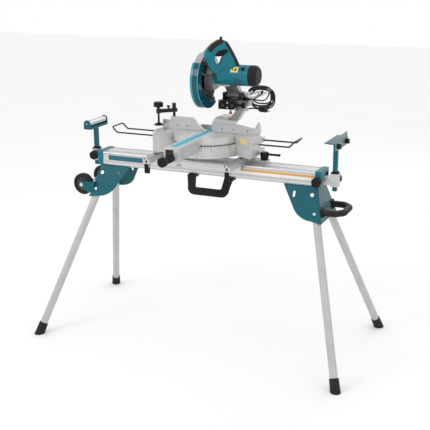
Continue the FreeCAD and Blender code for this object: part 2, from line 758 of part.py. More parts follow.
def make_wheel(name, side):
    """Solid wheel with a dished hub."""
    body = new_body("wheel_" + name)
    half = size.wheel_width / 2
    radius = size.wheel_diameter / 2
    bore = size.axle_diameter / 2 + size.running_gap
    turn(body, "XZ", [
        (bore, -half), (17, -half), (19, -half + 5), (38, -half + 5), (41, -half), (radius - 4, -half),
        (radius, -half + 4), (radius, half - 4), (radius - 4, half), (41, half), (38, half - 5),
        (19, half - 5),
        (17, half), (bore, half)])
    place(body, size.wheel_x, size.wheel_y * side, size.wheel_z, rotation=TO_AXIS["Y"])


def make_tow_handle():
    """Bent tube loop on the right bracket, with a flange at each end."""
    reach = size.tow_reach.value - size.tow_tube.value / 2
    half = size.tow_half_width.value
    chamfer = size.tow_chamfer.value
    z = size.tow_z.value
    root = closure_at((size.beam_bottom.value - z) / math.cos(splay)) + size.closure_sheet.value
    start = root + 4.5
    route = [Vector(start, -half, z), Vector(reach - chamfer, -half, z), Vector(reach, chamfer - half, z),
             Vector(reach, half - chamfer, z), Vector(reach - chamfer, half, z), Vector(start, half, z)]
    loop, _, _ = bent_rod("tow_handle", route, size.tow_tube.value, fixed_bend(24))
    lean = size.closure_slope.value / math.cos(splay)
    flanges = []
    for side in (-1, 1):
        flange = doc.addObject("PartDesign::Body", "Flange")
        edge = root + 0.3
        rise = 20
        thick = 9
        pad(flange, "XZ", side * half - rise, side * half + rise, [
            (edge + lean * rise, z - rise), (edge + thick + lean * rise, z - rise),
            (edge + thick - lean * rise, z + rise), (edge - lean * rise, z + rise)])
        flanges.append(flange)
    keep(fuse(loop, *flanges), "tow_handle")


def make_carry_handle():
    """Moulded carrying handle that slopes with the front legs, and its feet under the beam."""
    near = size.plate_gap.value + 2
    top = 15
    left, right, drop = size.grip_left.value, size.grip_right.value, size.grip_drop.value
    bar = size.grip_bar.value
    outline = [
        (left, top), (left + 43, top), (left + 49, drop - bar - 12),
        (left + 61, drop - bar, (left + 52, drop - bar - 3)), (right - 61, drop - bar),
        (right - 49, drop - bar - 12, (right - 52, drop - bar - 3)), (right - 43, top), (right, top),
        (right - 13, drop - 40), (right - 54, drop, (right - 25, drop - 10)), (left + 54, drop),
        (left + 13, drop - 40, (left + 25, drop - 10))]
    bow = slope_sheet(FRONT, near, near + size.grip_width.value, outline)
    softened = doc.addObject("Part::Fillet", "SoftHandle")
    softened.Base = bow
    doc.recompute()
    origin, up_slope, normal = slope_frame(FRONT)
    edges = [i for i, edge in enumerate(bow.Shape.Edges, start=1)
             if abs(edge.tangentAt(edge.FirstParameter).dot(normal)) < 0.01
             and (origin - edge.CenterOfMass).dot(up_slope) > top + 5]
    softened.Edges = [(i, 5, 5) for i in edges]
    feet = [block(x, x + 43, -70, -28, size.beam_bottom - 12, size.beam_bottom) for x in (left, right - 43)]
    keep(fuse(softened, *feet), "carry_handle")


# ---------------------------------------------------------------- saw mounting arms

def mounting_bolt_places():
    """Where the four bolts hold the saw's base to the mounting arms."""
    left = size.arm_centre.value - size.arm_spacing.value / 2
    right = size.arm_centre.value + size.arm_spacing.value / 2
    return [(left, -95), (left, 20), (right, -20), (right, 62)]


def make_mounting_arm(label, side):
    """T-slot extrusion across the beam, with rail hooks and lugs for its lever."""
    x = size.arm_centre + side * size.arm_spacing / 2
    half = size.arm_width / 2
    low, high = size.beam_top, size.beam_top + size.arm_height
    body = new_body(label)
    pad(body, "XZ", size.arm_front, size.arm_rear, rectangle(x - half, x + half, low, high))
    slots = [rectangle(x + offset - 2.5, x + offset + 2.5, high - size.arm_slot_depth, high)
             for offset in (-10.5, 10.5)]
    pocket(body, "XZ", size.arm_front, size.arm_rear, rectangle(x - 5, x + 5, low + 5, high - 12), *slots)
    rail = size.beam_width / 2 + 6
    for near, far in ((-rail - 14, -rail), (rail, rail + 14)):
        pad(body, "XZ", near, far, rectangle(x - 12, x + 12, low - 24, low + 2))
    for near, far in ((x - 16, x - 12.3), (x + 12.3, x + 16)):
        pad(body, "XZ", size.arm_front + 1, size.arm_front + 15, rectangle(near, far, low - 15, low + 2))
    bolts = [(bolt_x, bolt_y, 4.1) for bolt_x, bolt_y in mounting_bolt_places() if abs(bolt_x - x.value) < 1]
    pocket(body, "XY", low + 17, high, *bolts)
    pocket(body, "YZ", x - 17, x + 17, (size.arm_front + 8, low - 8, 3.1))
    if side > 0:
        pad(body, "XY", low + 0.5, low + 12, rectangle(x + half, x + half + 92, 14, 66))
        pocket(body, "XY", low + 0.5, low + 12, (clamp_x, clamp_y, 6.1))


clamp_x, clamp_y = 283, 40


def make_arm_lever(label, side):
    """Cam lever under the front end of a mounting arm, with its pin."""
    x = size.arm_centre + side * size.arm_spacing / 2
    y = size.arm_front + 8
    z = size.beam_top - 8
    body = new_body(label)
    pad(body, "YZ", x - 12, x + 12, [
        (y - 7, z), (y + 7, z, (y.value, z.value + 7)), (y + 7, z - 40), (y - 7, z - 40)])
    round_edges(body, 4, runs_along(X_DIRECTION, lambda middle: middle.z < z.value - 20))
    pad(body, "YZ", x - 16, x + 16, (y, z, 3))


def make_clamp_handle():
    """Rail clamp knob with its lever, beside the right mounting arm."""
    low = size.beam_top + 12.4
    hub = fuse(cone("Z", 17, 21, low, low + 12, clamp_x, clamp_y),
               rod("Z", 21, low + 12, low + 36, clamp_x, clamp_y),
               rod("Z", 6, size.beam_top + 1, low + 5, clamp_x, clamp_y))
    lever = rod("X", 5.5, clamp_x + 12, clamp_x + 74, clamp_y, low + 27)
    tip = doc.addObject("Part::Sphere", "Tip")
    drive(tip, Radius=7)
    place(tip, clamp_x + 76, clamp_y, low + 27)
    keep(fuse(hub, lever, tip), "clamp_handle")


def make_mounting_bolts():
    """Four bolts from the arms' channels up into the saw's base."""
    low = size.beam_top + 18
    bolts = [fuse(rod("Z", 4.8, low - 5, low, x, y), rod("Z", 4, low - 5, low + 34, x, y))
             for x, y in mounting_bolt_places()]
    keep(group(*bolts), "mounting_bolts")


# ---------------------------------------------------------------- saw base, turntable and fence

def make_saw_base():
    """Cast base: round bed for the turntable, two wings, lobes for the wire holders and bolt bosses."""
    x = size.saw_x
    y = size.turntable_y
    body = new_body("saw_base")
    pad(body, "XY", size.base_bottom, size.scale_top, (x, y, size.scale_radius))
    right_wing = [(x + 130, -20), (x + 175, -42), (x + 265, -87), (x + 265, 46), (x + 243, 86), (x + 125, 86)]
    left_wing = [(x - 125, 60), (x - 268, 46), (x - 268, -46), (x - 232, -134), (x - 130, -38)]
    pad(body, "XY", size.base_bottom, size.table_z, right_wing)
    pad(body, "XY", size.base_bottom, size.table_z, left_wing)
    for low, high in ((x + 120, x + 243), (x - 243, x - 120)):
        pad(body, "XY", 998, size.scale_top, rectangle(low, high, 40, 166))
    pocket(body, "XY", size.scale_top, size.table_z, (x, y, size.turntable_radius + size.turntable_gap))
    under = size.table_z - 8
    pocket(body, "XY", size.base_bottom, under,
           [(x + 187, -40), (x + 259, -76), (x + 259, 42), (x + 239, 80), (x + 187, 80)])
    pocket(body, "XY", size.base_bottom, under,
           [(x - 187, 46), (x - 262, 40), (x - 262, -45), (x - 229, -124), (x - 187, -84)])
    ring = [(x + 150 * math.cos(math.radians(a)), y + 150 * math.sin(math.radians(a)))
            for a in range(0, 360, 15)]
    pocket(body, "XY", size.base_bottom, size.scale_top - 12, ring)
    pad(body, "XY", size.base_bottom, size.scale_top, (x, y, size.spindle_radius + 12))
    pocket(body, "XY", size.base_bottom, size.scale_top, (x, y, size.spindle_radius + size.running_gap))
    for bolt_x, bolt_y in mounting_bolt_places():
        pad(body, "XY", size.beam_top + size.arm_height, under, (bolt_x, bolt_y, 12))
        pocket(body, "XY", size.beam_top + size.arm_height, 982, (bolt_x, bolt_y, 4.1))
    pad(body, "XY", 1000, under, (vise_post[0], vise_post[1], 13))
    pocket(body, "XY", vise_post_low - 2, size.table_z, (vise_post[0], vise_post[1], 7 + size.running_gap))
    wires = [(wire_y, size.wire_z, size.wire_diameter / 2 + size.running_gap)
             for wire_y in (size.wire_front_y, size.wire_rear_y)]
    pocket(body, "YZ", x + 187, x + 270, *wires)
    pocket(body, "YZ", x - 270, x - 187, *wires)


vise_post = (-205, 38)
vise_post_low = 1022


def make_turntable():
    """Round table with its spindle, the long nose with the kerf slot, the bevel boss and pin."""
    x = size.saw_x
    y = size.turntable_y
    body = new_body("turntable")
    top, low = size.table_z, size.turntable_bottom
    pad(body, "XY", low, top, (x, y, size.turntable_radius))
    pad(body, "XY", size.base_bottom, low, (x, y, size.spindle_radius))
    pad(body, "XY", low, top, rectangle(x - 30, x + 42, size.nose_front, -100))
    pad(body, "XY", size.nose_low, low, rectangle(x - 30, x + 42, size.nose_front, -176))
    wall = 20
    pocket(body, "XY", size.nose_low, top - 8, rectangle(x - 24, x + 36, size.nose_front + wall, -182))
    pocket(body, "XZ", size.nose_front, size.nose_front + wall - 6,
           rectangle(x - 25, x + 18, size.nose_low, top - 7))
    boss_radius = 50
    pad(body, "XZ", 150, 195, [
        (x - boss_radius, low), (x + boss_radius, low), (x + boss_radius, top),
        (x - boss_radius, top, (x.value, top.value + boss_radius))])
    pocket(body, "XY", top, top + boss_radius + 1, rectangle(x - 60, x + 60, 140, 172))
    pad(body, "XZ", 195, 240.3, (x, top, 12))
    pad(body, "XZ", 240.3, 256, (x, top, 5))
    half_board = size.board_width / 2
    pocket(body, "XY", top - size.board_depth, top,
           rectangle(x - half_board, x + half_board, size.kerf_front - 8, size.kerf_rear + 8))
    half_kerf = size.kerf_width / 2
    pocket(body, "XY", top - 24, top,
           rectangle(x - half_kerf, x + half_kerf, size.kerf_front, size.kerf_rear))
    pocket(body, "XZ", size.nose_front, size.nose_front + wall,
           (x + 7, size.mitre_grip_z, 6 + size.running_gap))
    pad(body, "XY", 980, size.nose_low, (x + 34, -380, 5))
    pad(body, "XY", 968, 980, (x + 34, -380, 13))


def make_kerf_boards():
    """Two plastic boards beside the saw's path, flush with the table."""
    x = size.saw_x
    body = new_body("kerf_boards")
    low, high = size.table_z - size.board_depth, size.table_z
    half = size.board_width / 2
    pad(body, "XY", low, high,
        rectangle(x - half, x + half, size.kerf_front - 8, size.kerf_rear + 8))
    half_kerf = size.kerf_width / 2
    pocket(body, "XY", low, high, rectangle(x - half_kerf, x + half_kerf, size.kerf_front, size.kerf_rear))


def make_mitre_grip():
    """Turning grip that locks the turntable."""
    body = new_body("mitre_grip")
    length = size.nose_front - size.mitre_grip_front
    radius = size.mitre_grip_diameter / 2
    turn(body, "XZ", [
        (0, 0), (radius - 4, 0), (radius, 4), (radius, 26), (radius - 6, 34), (13, 40), (13, 58), (18, 64),
        (18, length - 3), (12, length - 1), (6, length - 1), (6, length + 30), (0, length + 30)])
    place(body, size.saw_x + 7, size.mitre_grip_front, size.mitre_grip_z, rotation=TO_AXIS["Y"])


def make_fence():
    """Cast fence: two halves joined behind the blade, with end ribs."""
    x = size.saw_x
    front, back = size.fence_y, size.fence_y + size.fence_thickness
    low, high = size.fence_low, size.fence_high
    body = new_body("fence")
    pad(body, "XZ", front, back, [(x - 250, low), (x - 15, low), (x - 68, high), (x - 250, high)])
    pad(body, "XZ", front, back, [(x + 21, low), (x + 255, low), (x + 255, high - 14), (x + 160, high),
                                  (x + 21, high)])
    bridge_rear = 92
    pad(body, "XY", low, low + 18,
        [(x - 80, back - 1), (x - 66, back - 1), (x - 56, bridge_rear - 14), (x + 48, bridge_rear - 14),
         (x + 58, back - 1), (x + 72, back - 1), (x + 62, bridge_rear), (x - 70, bridge_rear)])
    reach = size.turntable_radius + 6
    pad(body, "XY", size.table_z, low + 1, rectangle(x - 250, x - reach, front, back),
        rectangle(x + reach, x + 255, front, back))
    pad(body, "YZ", x - 250, x - 240, [(back - 1, low), (back + 24, low), (back - 1, high - 24)])
    pad(body, "YZ", x + 245, x + 255, [(back - 1, low), (back + 60, low), (back + 60, low + 14),
                                       (back + 40, high + 10),
                                       (back - 1, high - 14)])


def make_sub_fence(label, side):
    """Upper fence that slides outwards on the main fence."""
    x = size.saw_x
    low = size.fence_high + 0.4
    near = size.fence_y + 1
    body = new_body(label)
    if side < 0:
        top = size.left_sub_fence_top
        outline = [(x - 205, low), (x - 62, low), (x - 84, top), (x - 205, top)]
    else:
        top = size.right_sub_fence_top
        outline = [(x + 21, low), (x + 150, low), (x + 140, top), (x + 32, top)]
    back = size.fence_y + size.fence_thickness
    pad(body, "XZ", near, back + 6, outline)
    edges = sorted((float(outline[1][0]), float(outline[0][0])))
    pad(body, "XZ", back + 0.4, back + 6,
        rectangle(edges[0] + 8, edges[1] - 8, size.fence_high - 18, low + 1))


def make_wire_holder(label, side, inner_x, corner_x):
    """Bent wire work holder with its raised end."""
    z = size.wire_z.value
    front, rear = size.wire_front_y.value, size.wire_rear_y.value
    raised = side * 28
    points = [Vector(inner_x, front, z), Vector(corner_x, front, z), Vector(corner_x + raised, front, z + 28),
              Vector(corner_x + raised, rear, z + 28), Vector(corner_x, rear, z), Vector(inner_x, rear, z)]
    wire, _, _ = bent_rod(label, points, size.wire_diameter.value, fixed_bend(12))
    keep(wire, label)


def make_vise():
    """Top clamp: post, arm and the screw with its knob and pad."""
    screw_x, screw_y = -263, -20
    reach = math.hypot(vise_post[0] - screw_x, vise_post[1] - screw_y)
    angle = math.degrees(math.atan2(screw_y - vise_post[1], screw_x - vise_post[0]))
    bar = doc.addObject("Part::Box", "Bar")
    drive(bar, Length=reach + 14, Width=20, Height=18)
    turned = Rotation(Z_DIRECTION, angle)
    start = Vector(vise_post[0], vise_post[1], 1142) - turned.multVec(Vector(14, 10, 0))
    bar.Placement = Placement(start, turned)
    post = rod("Z", 7, vise_post_low, 1184, vise_post[0], vise_post[1])
    boss = rod("Z", 12, 1140, 1162, screw_x, screw_y)
    wing_stem = rod("Z", 3, 1158, 1168, -226, 17)
    wing = block(-234, -218, 15, 19, 1166, 1176)
    frame = fuse(bar, post, boss, rod("Z", 10, 1162, 1186, *vise_post), wing_stem, wing)
    keep(cut(frame, rod("Z", 5 + size.running_gap, 1130, 1170, screw_x, screw_y)), "vise_frame")
    body = new_body("vise_screw")
    turn(body, "XZ", [
        (0, 0), (24, 0), (24, 3), (9, 12), (5, 14), (5, 84), (11, 90), (22, 92), (24, 95), (24, 112),
        (20, 116),
        (0, 116)])
    place(body, screw_x, screw_y, 1080)


# ---------------------------------------------------------------- bevel arm, slide and head

def make_bevel_arm():
    """Cast arm that tilts about the table line and carries the two slide poles."""
    x = size.saw_x.value
    z = size.table_z.value
    body = new_body("bevel_arm")
    top = size.pole_z.value + 25
    pad(body, "XZ", size.bevel_front, size.bevel_rear, [
        (x + 32, z, (x, z - 32)), (x + 50, z), (x + 82, z + 30), (x + 104, z + 66), (x + 120, z + 104),
        (x + 142, z + 106), (x + 142, top), (x + 35, top), (x + 35, z + 106), (x + 78, z + 102),
        (x + 62, z + 66), (x + 38, z + 40),
        (x, z + 50), (x - 50, z, (x - 35.36, z + 35.36)), (x - 32, z)])
    round_edges(body, 10, runs_along(Y_DIRECTION, lambda middle: middle.z > top - 1))
    pocket(body, "XZ", size.bevel_front, size.bevel_rear, (size.saw_x, size.table_z, 12 + size.running_gap))
    bore = size.pole_diameter / 2 + size.running_gap
    pocket(body, "XZ", size.bevel_front, size.bevel_rear,
           (size.pole_left_x, size.pole_z, bore), (size.pole_right_x, size.pole_z, bore))


def make_bevel_lever():
    """Lever behind the arm that locks the bevel."""
    x = size.saw_x.value
    z = size.table_z.value
    body = new_body("bevel_lever")
    pad(body, "XZ", 240.6, 255, (x, z, 15))
    pad(body, "XZ", 243, 254, [(x + 2, z + 12), (x + 12, z + 2), (x + 60, z + 26), (x + 98, z + 66),
                               (x + 90, z + 74),
                               (x + 50, z + 38)])
    pocket(body, "XZ", 240.6, 255, (x, z, 5 + size.running_gap))


def make_slide():
    """Two steel poles and the carriage with the hinge lugs and pin of the head."""
    radius = size.pole_diameter / 2
    poles = [rod("Y", radius, size.pole_front, size.pole_rear, x, size.pole_z)
             for x in (size.pole_left_x, size.pole_right_x)]
    keep(group(*poles), "slide_poles")
    left, right = size.pole_left_x - 25, size.pole_right_x + 25
    housing = block(left, right, size.pole_front - 4, size.pole_front + 60, size.pole_z - 22,
                    size.pole_z + 22)
    rear = size.chop_y + 20
    lugs = [block(low, low + 14, size.pole_front + 50, rear, size.pole_z - 14, size.chop_z + 18)
            for low in (left, right - 14)]
    pin = rod("X", size.chop_pin_diameter / 2, left - 3, right + 3, size.chop_y, size.chop_z)
    gland = rod("X", 9, right, right + 13, size.chop_y, size.chop_z - 16)
    bores = [rod("Y", radius + size.running_gap, size.pole_front, rear, x, size.pole_z)
             for x in (size.pole_left_x, size.pole_right_x)]
    keep(fuse(cut(fuse(housing, *lugs), *bores), pin, gland), "carriage")


def case_sector(from_angle, to_angle, reach, low_x, high_x):
    """A wedge about the blade's axis; angles run from the rear (0) over the top (90) to the front (180)."""
    centre_y, centre_z = size.blade_y.value, size.blade_z.value
    steps = max(2, int((to_angle - from_angle) / 45) + 1)
    points = [(centre_y, centre_z)]
    for i in range(steps + 1):
        angle = math.radians(from_angle + (to_angle - from_angle) * i / steps)
        points.append((centre_y + reach * math.cos(angle), centre_z + reach * math.sin(angle)))
    wedge = doc.addObject("PartDesign::Body", "Wedge")
    pad(wedge, "YZ", low_x, high_x, points)
    return wedge


def make_blade_case():
    """Cast upper blade case with the gear housing, the hinge arm and the dust outlet."""
    y, z = size.blade_y, size.blade_z
    left, right = size.saw_x - size.case_half_width, size.saw_x + size.case_half_width
    outer = rod("X", size.case_radius, left, right, y, z)
    hollow = rod("X", size.case_radius - 3.5, left + 4, right - 3.5, y, z)
    shell = cut(outer, hollow, case_sector(-205, -25, 300, -60, 60))
    stub = rod("X", 8, size.guard_left - 1.5, left + 1, y, z)
    hub = rod("X", 30, left, left + 4, y, z)
    gear = fuse(rod("X", 46, right - 3.5, size.motor_left, y, z),
                rod("X", size.motor_radius, right, size.motor_left, size.motor_y, size.motor_z))
    arm_body = doc.addObject("PartDesign::Body", "HingeArm")
    pad(arm_body, "YZ", size.motor_left, 114, [
        (-10, 1292), (-10, 1330), (80, 1334), (166, 1240), (168, 1225), (136, 1240), (70, 1299)])
    barrel = rod("X", 20, 45.5, 114.5, size.chop_y, size.chop_z)
    web = doc.addObject("PartDesign::Body", "HingeWeb")
    pad(web, "YZ", right - 1, size.motor_left, [(-10, 1290), (-10, 1340), (60, 1340), (90, 1322), (66, 1296)])
    arm = cut(arm_body, rod("X", size.motor_radius + 0.05, 40, 260, size.motor_y, size.motor_z))
    outlet_low = size.blade_y + size.case_radius - 5
    outlet_z = size.blade_z + 12
    outlet = cut(rod("Y", 16, outlet_low, outlet_low + 36, size.saw_x, outlet_z),
                 rod("Y", 13, outlet_low, outlet_low + 36, size.saw_x, outlet_z))
    throat = rod("Y", 12.9, outlet_low - 30, outlet_low + 7, size.saw_x, outlet_z)
    solid = fuse(shell, stub, hub, gear, arm, barrel, web, outlet)
    whole = cut(solid, rod("X", 10 + size.running_gap, right - 8, right + 22, y, z),
                rod("X", size.chop_pin_diameter / 2 + size.running_gap, 40, 120, size.chop_y, size.chop_z),
                throat)
    keep(whole, "blade_case")


def make_lower_guard():
    """Clear guard: a left wall with its hub and a rim, both open at the rear and the top."""
    y, z = size.blade_y, size.blade_z
    left, right = size.guard_left, size.guard_right
    wall_right = left + size.guard_sheet
    gap = (-60, 138, 300, -60, 60)
    disc = cut(rod("X", size.guard_outer, left, wall_right, y, z), case_sector(*gap))
    wall = cut(fuse(disc, rod("X", 24, left, wall_right, y, z)),
               rod("X", 8 + size.running_gap, left - 1, left + 4, y, z))
    rim = cut(rod("X", size.guard_outer, wall_right, right, y, z),
              rod("X", size.guard_inner, wall_right, right, y, z), case_sector(*gap))
    keep(group(wall, rim), "lower_guard")


def make_blade():
    """Blade with its flanges and arbor."""
    y, z = size.blade_y, size.blade_z
    half = size.blade_thickness / 2
    disc = doc.addObject("PartDesign::Body", "BladeDisc")
    radius = size.blade_diameter.value / 2
    teeth = 48
    outline = []
    for i in range(teeth):
        start = 2 * math.pi * i / teeth
        for reach, share in ((radius, 0.0), (radius - 7, 0.18), (radius - 2, 0.8)):
            angle = start + share * 2 * math.pi / teeth
            outline.append((y.value + reach * math.cos(angle), z.value + reach * math.sin(angle)))
    pad(disc, "YZ", size.saw_x - half, size.saw_x + half, outline)
    flanges = rod("X", 24, size.saw_x - 6, size.saw_x + 6, y, z)
    arbor = rod("X", 10, size.saw_x - 12, size.saw_x + 30, y, z)
    keep(fuse(disc, flanges, arbor), "blade")


def make_motor_housing():
    """Moulded motor housing and the D-handle that grows out of it."""
    handle = doc.addObject("PartDesign::Body", "Handle")
    half = size.handle_thickness / 2
    outer = [
        (56, 1322), (52, 1351), (27, 1374), (13, 1396), (-6, 1440), (0, 1465, (-6, 1454)), (33, 1497),
        (75, 1518, (54, 1513)), (104, 1506, (92, 1516)), (123, 1475), (143, 1439), (166, 1390),
        (166, 1350), (120, 1330)]
    pad(handle, "XZ", -half, half, outer)
    pocket(handle, "XZ", -half, half, [
        (52, 1400), (45, 1424), (54, 1442, (46, 1435)), (78, 1450, (65, 1448)), (84, 1442, (84, 1449)),
        (72, 1410), (62, 1398, (68, 1401))])
    pocket(handle, "XZ", -8.5, 8.5, rectangle(52, 106, 1440, 1464))
    pocket(handle, "XY", 1498, 1520, (77, 0, 6.3))
    handle.Placement = Placement(Vector(size.handle_x.value, size.handle_y.value, 0),
                                 Rotation(Z_DIRECTION, size.handle_turn.value))
    barrel = rod("X", size.motor_radius, size.motor_left, size.motor_split, size.motor_y, size.motor_z)
    keep(fuse(handle, barrel), "motor_housing")
    trigger = new_body("trigger")
    pad(trigger, "XZ", -8, 8, [(54, 1457), (104, 1457), (104, 1447), (84, 1442), (66, 1438), (54, 1440)])
    trigger.Placement = handle.Placement
    button = new_body("lock_button")
    pad(button, "XY", 1504, 1530, (77, 0, 6))
    round_edges(button, 2, lambda edge: edge.CenterOfMass.z > 1529)
    button.Placement = handle.Placement


def make_motor_cap():
    """Dark end cap of the motor with its stepped rim."""
    body = new_body("motor_cap")
    length = size.motor_right - size.motor_split
    radius = size.motor_radius
    turn(body, "XZ", [
        (0, 0), (radius, 0), (radius, length * 0.55), (radius - 3, length - 8), (radius - 11, length),
        (0, length)])
    place(body, size.motor_split, size.motor_y, size.motor_z, rotation=TO_AXIS["X"])


# ---------------------------------------------------------------- mains cord

def make_cord():
    """Lead from the carriage's gland to the coil that hangs on the poles, the coil, and the plug."""
    x, y, z = size.coil_x, size.coil_y, size.coil_z
    coil = new_body("cord_coil")
    half_thick = 22
    pad(coil, "XZ", y - half_thick, y + half_thick, rectangle(x - 84, x + 84, z - 68, z + 66))
    round_edges(coil, 56, runs_along(Y_DIRECTION))
    pocket(coil, "XZ", y - half_thick, y + half_thick, rectangle(x - 62, x + 58, z - 42, z + 37))
    gland = size.pole_right_x.value + 25 + 13
    route = [
        (gland, 150, 1209), (gland + 24, 152, 1208), (gland + 46, 174, 1203), (gland + 52, 216, 1194),
        (gland + 50, 262, 1188), (gland + 44, 308, 1188), (gland + 36, 354, 1195), (gland + 26, 394, 1207),
        (gland + 14, 422, 1219), (gland + 14, 443, 1219)]
    points = [Vector(*point) for point in route]

    def cord_bend(before, after, half_turn):
        return 0.45 * min(before, after) / math.tan(half_turn)

    lead, length, radii = bent_rod("cord_lead", points, size.cord_diameter.value, cord_bend)
    keep(lead, "cord_lead")
    print("lead %.0f mm, bend radii %s" % (length, ", ".join("%.0f" % radius for radius in radii)))
    body = fuse(cone("X", 15, 18, 104, 116, 422, 1114), rod("X", 18, 116, 146, 422, 1114))
    prongs = [rod("X", 2.4, 146, 163, 422, 1114 + offset) for offset in (-9.5, 9.5)]
    keep(fuse(body, *prongs), "plug")


# ---------------------------------------------------------------- the whole machine

make_beam()
end_knob_x = size.beam_length.value / 2 + size.cap_length.value / 2
end_knob_y = size.beam_width.value / 2 + size.cap_overhang.value + 11
for name, sign in (("right", 1), ("left", -1)):
    turned_round = sign < 0
    make_end_cap("end_cap_" + name, turned_round)
    star_knob("extension_knob_" + name, Vector(sign * end_knob_x, -sign * end_knob_y, size.tube_z.value),
              Vector(0, -sign, 0), size.knob_diameter.value / 2, size.knob_depth.value, 5, 32)
    make_extension("extension_" + name, turned_round)
    star_knob("post_knob_" + name, Vector(sign * size.support_x.value, -sign, 888), Vector(0, sign, 0),
              size.knob_diameter.value / 2, size.knob_depth.value, 4, 10)
    make_bracket("leg_bracket_" + name, turned_round, turned_round)
make_roller_post()
make_roller()
make_table_post()
make_stop()
make_fasteners()
make_leg("front_right", FRONT, False)
make_leg("rear_right", REAR, False)
make_leg("rear_left", FRONT, True)
make_leg("front_left", REAR, True)
make_wheel("front", -1)
make_wheel("rear", 1)
make_tow_handle()
make_carry_handle()
make_mounting_arm("mounting_arm_left", -1)
make_mounting_arm("mounting_arm_right", 1)
make_arm_lever("arm_lever_left", -1)
make_arm_lever("arm_lever_right", 1)
make_clamp_handle()
make_mounting_bolts()
make_saw_base()
make_turntable()
make_kerf_boards()
make_mitre_grip()
make_fence()
make_sub_fence("sub_fence_left", -1)
make_sub_fence("sub_fence_right", 1)
make_wire_holder("wire_holder_right", 1, 192, 410)
make_wire_holder("wire_holder_left", -1, -205, -542)
make_vise()
make_bevel_arm()
make_bevel_lever()
make_slide()
make_blade_case()
make_lower_guard()
make_blade()
make_motor_housing()
make_motor_cap()
make_cord()

doc.recompute()
for thing in doc.Objects:
    if "Invalid" in thing.State or "Error" in thing.State:
        raise RuntimeError("%s (%s) failed: %s" % (thing.Label, thing.Name, thing.State))
labels = [node.Label for node in nodes]
if len(set(labels)) != len(labels) or len(labels) > 60:
    raise RuntimeError("%d nodes, names must differ" % len(labels))
os.makedirs("parts", exist_ok=True)
for node in nodes:
    shape = node.Shape
    if shape.isNull() or not shape.isValid() or not shape.Solids:
        raise RuntimeError(node.Label + " has no valid solid")
    shape.exportStep("parts/%s.step" % node.Label)
print(len(labels), "sub-parts written")
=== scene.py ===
"""Mitre saw on stand: finishes, moulded and printed details, cord, lights and camera for the frame."""
import json
import math
import random

import bmesh
import bpy
from mathutils import Matrix, Vector


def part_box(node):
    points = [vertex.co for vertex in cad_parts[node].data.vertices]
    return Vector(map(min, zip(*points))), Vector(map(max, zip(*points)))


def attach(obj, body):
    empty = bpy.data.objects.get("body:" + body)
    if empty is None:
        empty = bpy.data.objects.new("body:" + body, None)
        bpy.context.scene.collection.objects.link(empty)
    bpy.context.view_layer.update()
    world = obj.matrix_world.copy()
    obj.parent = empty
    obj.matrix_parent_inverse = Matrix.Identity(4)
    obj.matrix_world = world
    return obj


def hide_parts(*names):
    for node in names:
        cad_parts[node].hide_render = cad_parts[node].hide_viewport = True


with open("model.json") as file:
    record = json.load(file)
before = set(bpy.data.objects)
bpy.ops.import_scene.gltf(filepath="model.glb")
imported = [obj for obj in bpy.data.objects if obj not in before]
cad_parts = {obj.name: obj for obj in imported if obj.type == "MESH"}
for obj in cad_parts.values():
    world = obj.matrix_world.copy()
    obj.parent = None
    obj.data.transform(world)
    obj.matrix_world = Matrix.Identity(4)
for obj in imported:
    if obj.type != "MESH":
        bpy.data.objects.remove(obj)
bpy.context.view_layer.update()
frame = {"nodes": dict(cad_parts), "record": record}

# ---------------------------------------------------------------- camera and light

CAMERA_PLACE = Vector((1.7888, -3.8582, 1.9247))
CAMERA_YAW, CAMERA_PITCH, CAMERA_ROLL = 0.4270, 0.2950, -0.0078
CAMERA_LENS, CAMERA_SENSOR = 73.39, 36.0
FLOOR_REACH = 14
FLOOR_GAP = 0.0005


def make_camera():
    """Camera in front of the stand's right half, a little above the table."""
    data = bpy.data.cameras.new("camera")
    data.lens = CAMERA_LENS
    data.sensor_width = CAMERA_SENSOR
    data.clip_start, data.clip_end = 0.1, 60
    camera = bpy.data.objects.new("camera", data)
    bpy.context.scene.collection.objects.link(camera)
    forward = Vector((-math.sin(CAMERA_YAW) * math.cos(CAMERA_PITCH),
                      math.cos(CAMERA_YAW) * math.cos(CAMERA_PITCH), -math.sin(CAMERA_PITCH)))
    right = Vector((math.cos(CAMERA_YAW), math.sin(CAMERA_YAW), 0))
    up = right.cross(forward)
    turned_right = right * math.cos(CAMERA_ROLL) + up * math.sin(CAMERA_ROLL)
    turned_up = up * math.cos(CAMERA_ROLL) - right * math.sin(CAMERA_ROLL)
    basis = Matrix((turned_right, turned_up, -forward)).transposed().to_4x4()
    camera.matrix_world = Matrix.Translation(CAMERA_PLACE) @ basis
    bpy.context.scene.camera = camera


def area_light(name, place, target, size, power):
    """Soft square light that points at a target."""
    data = bpy.data.lights.new(name, "AREA")
    data.energy, data.size = power, size
    light = bpy.data.objects.new(name, data)
    bpy.context.scene.collection.objects.link(light)
    light.location = place
    light.rotation_mode = "QUATERNION"
    light.rotation_quaternion = (Vector(target) - Vector(place)).to_track_quat("-Z", "Y")


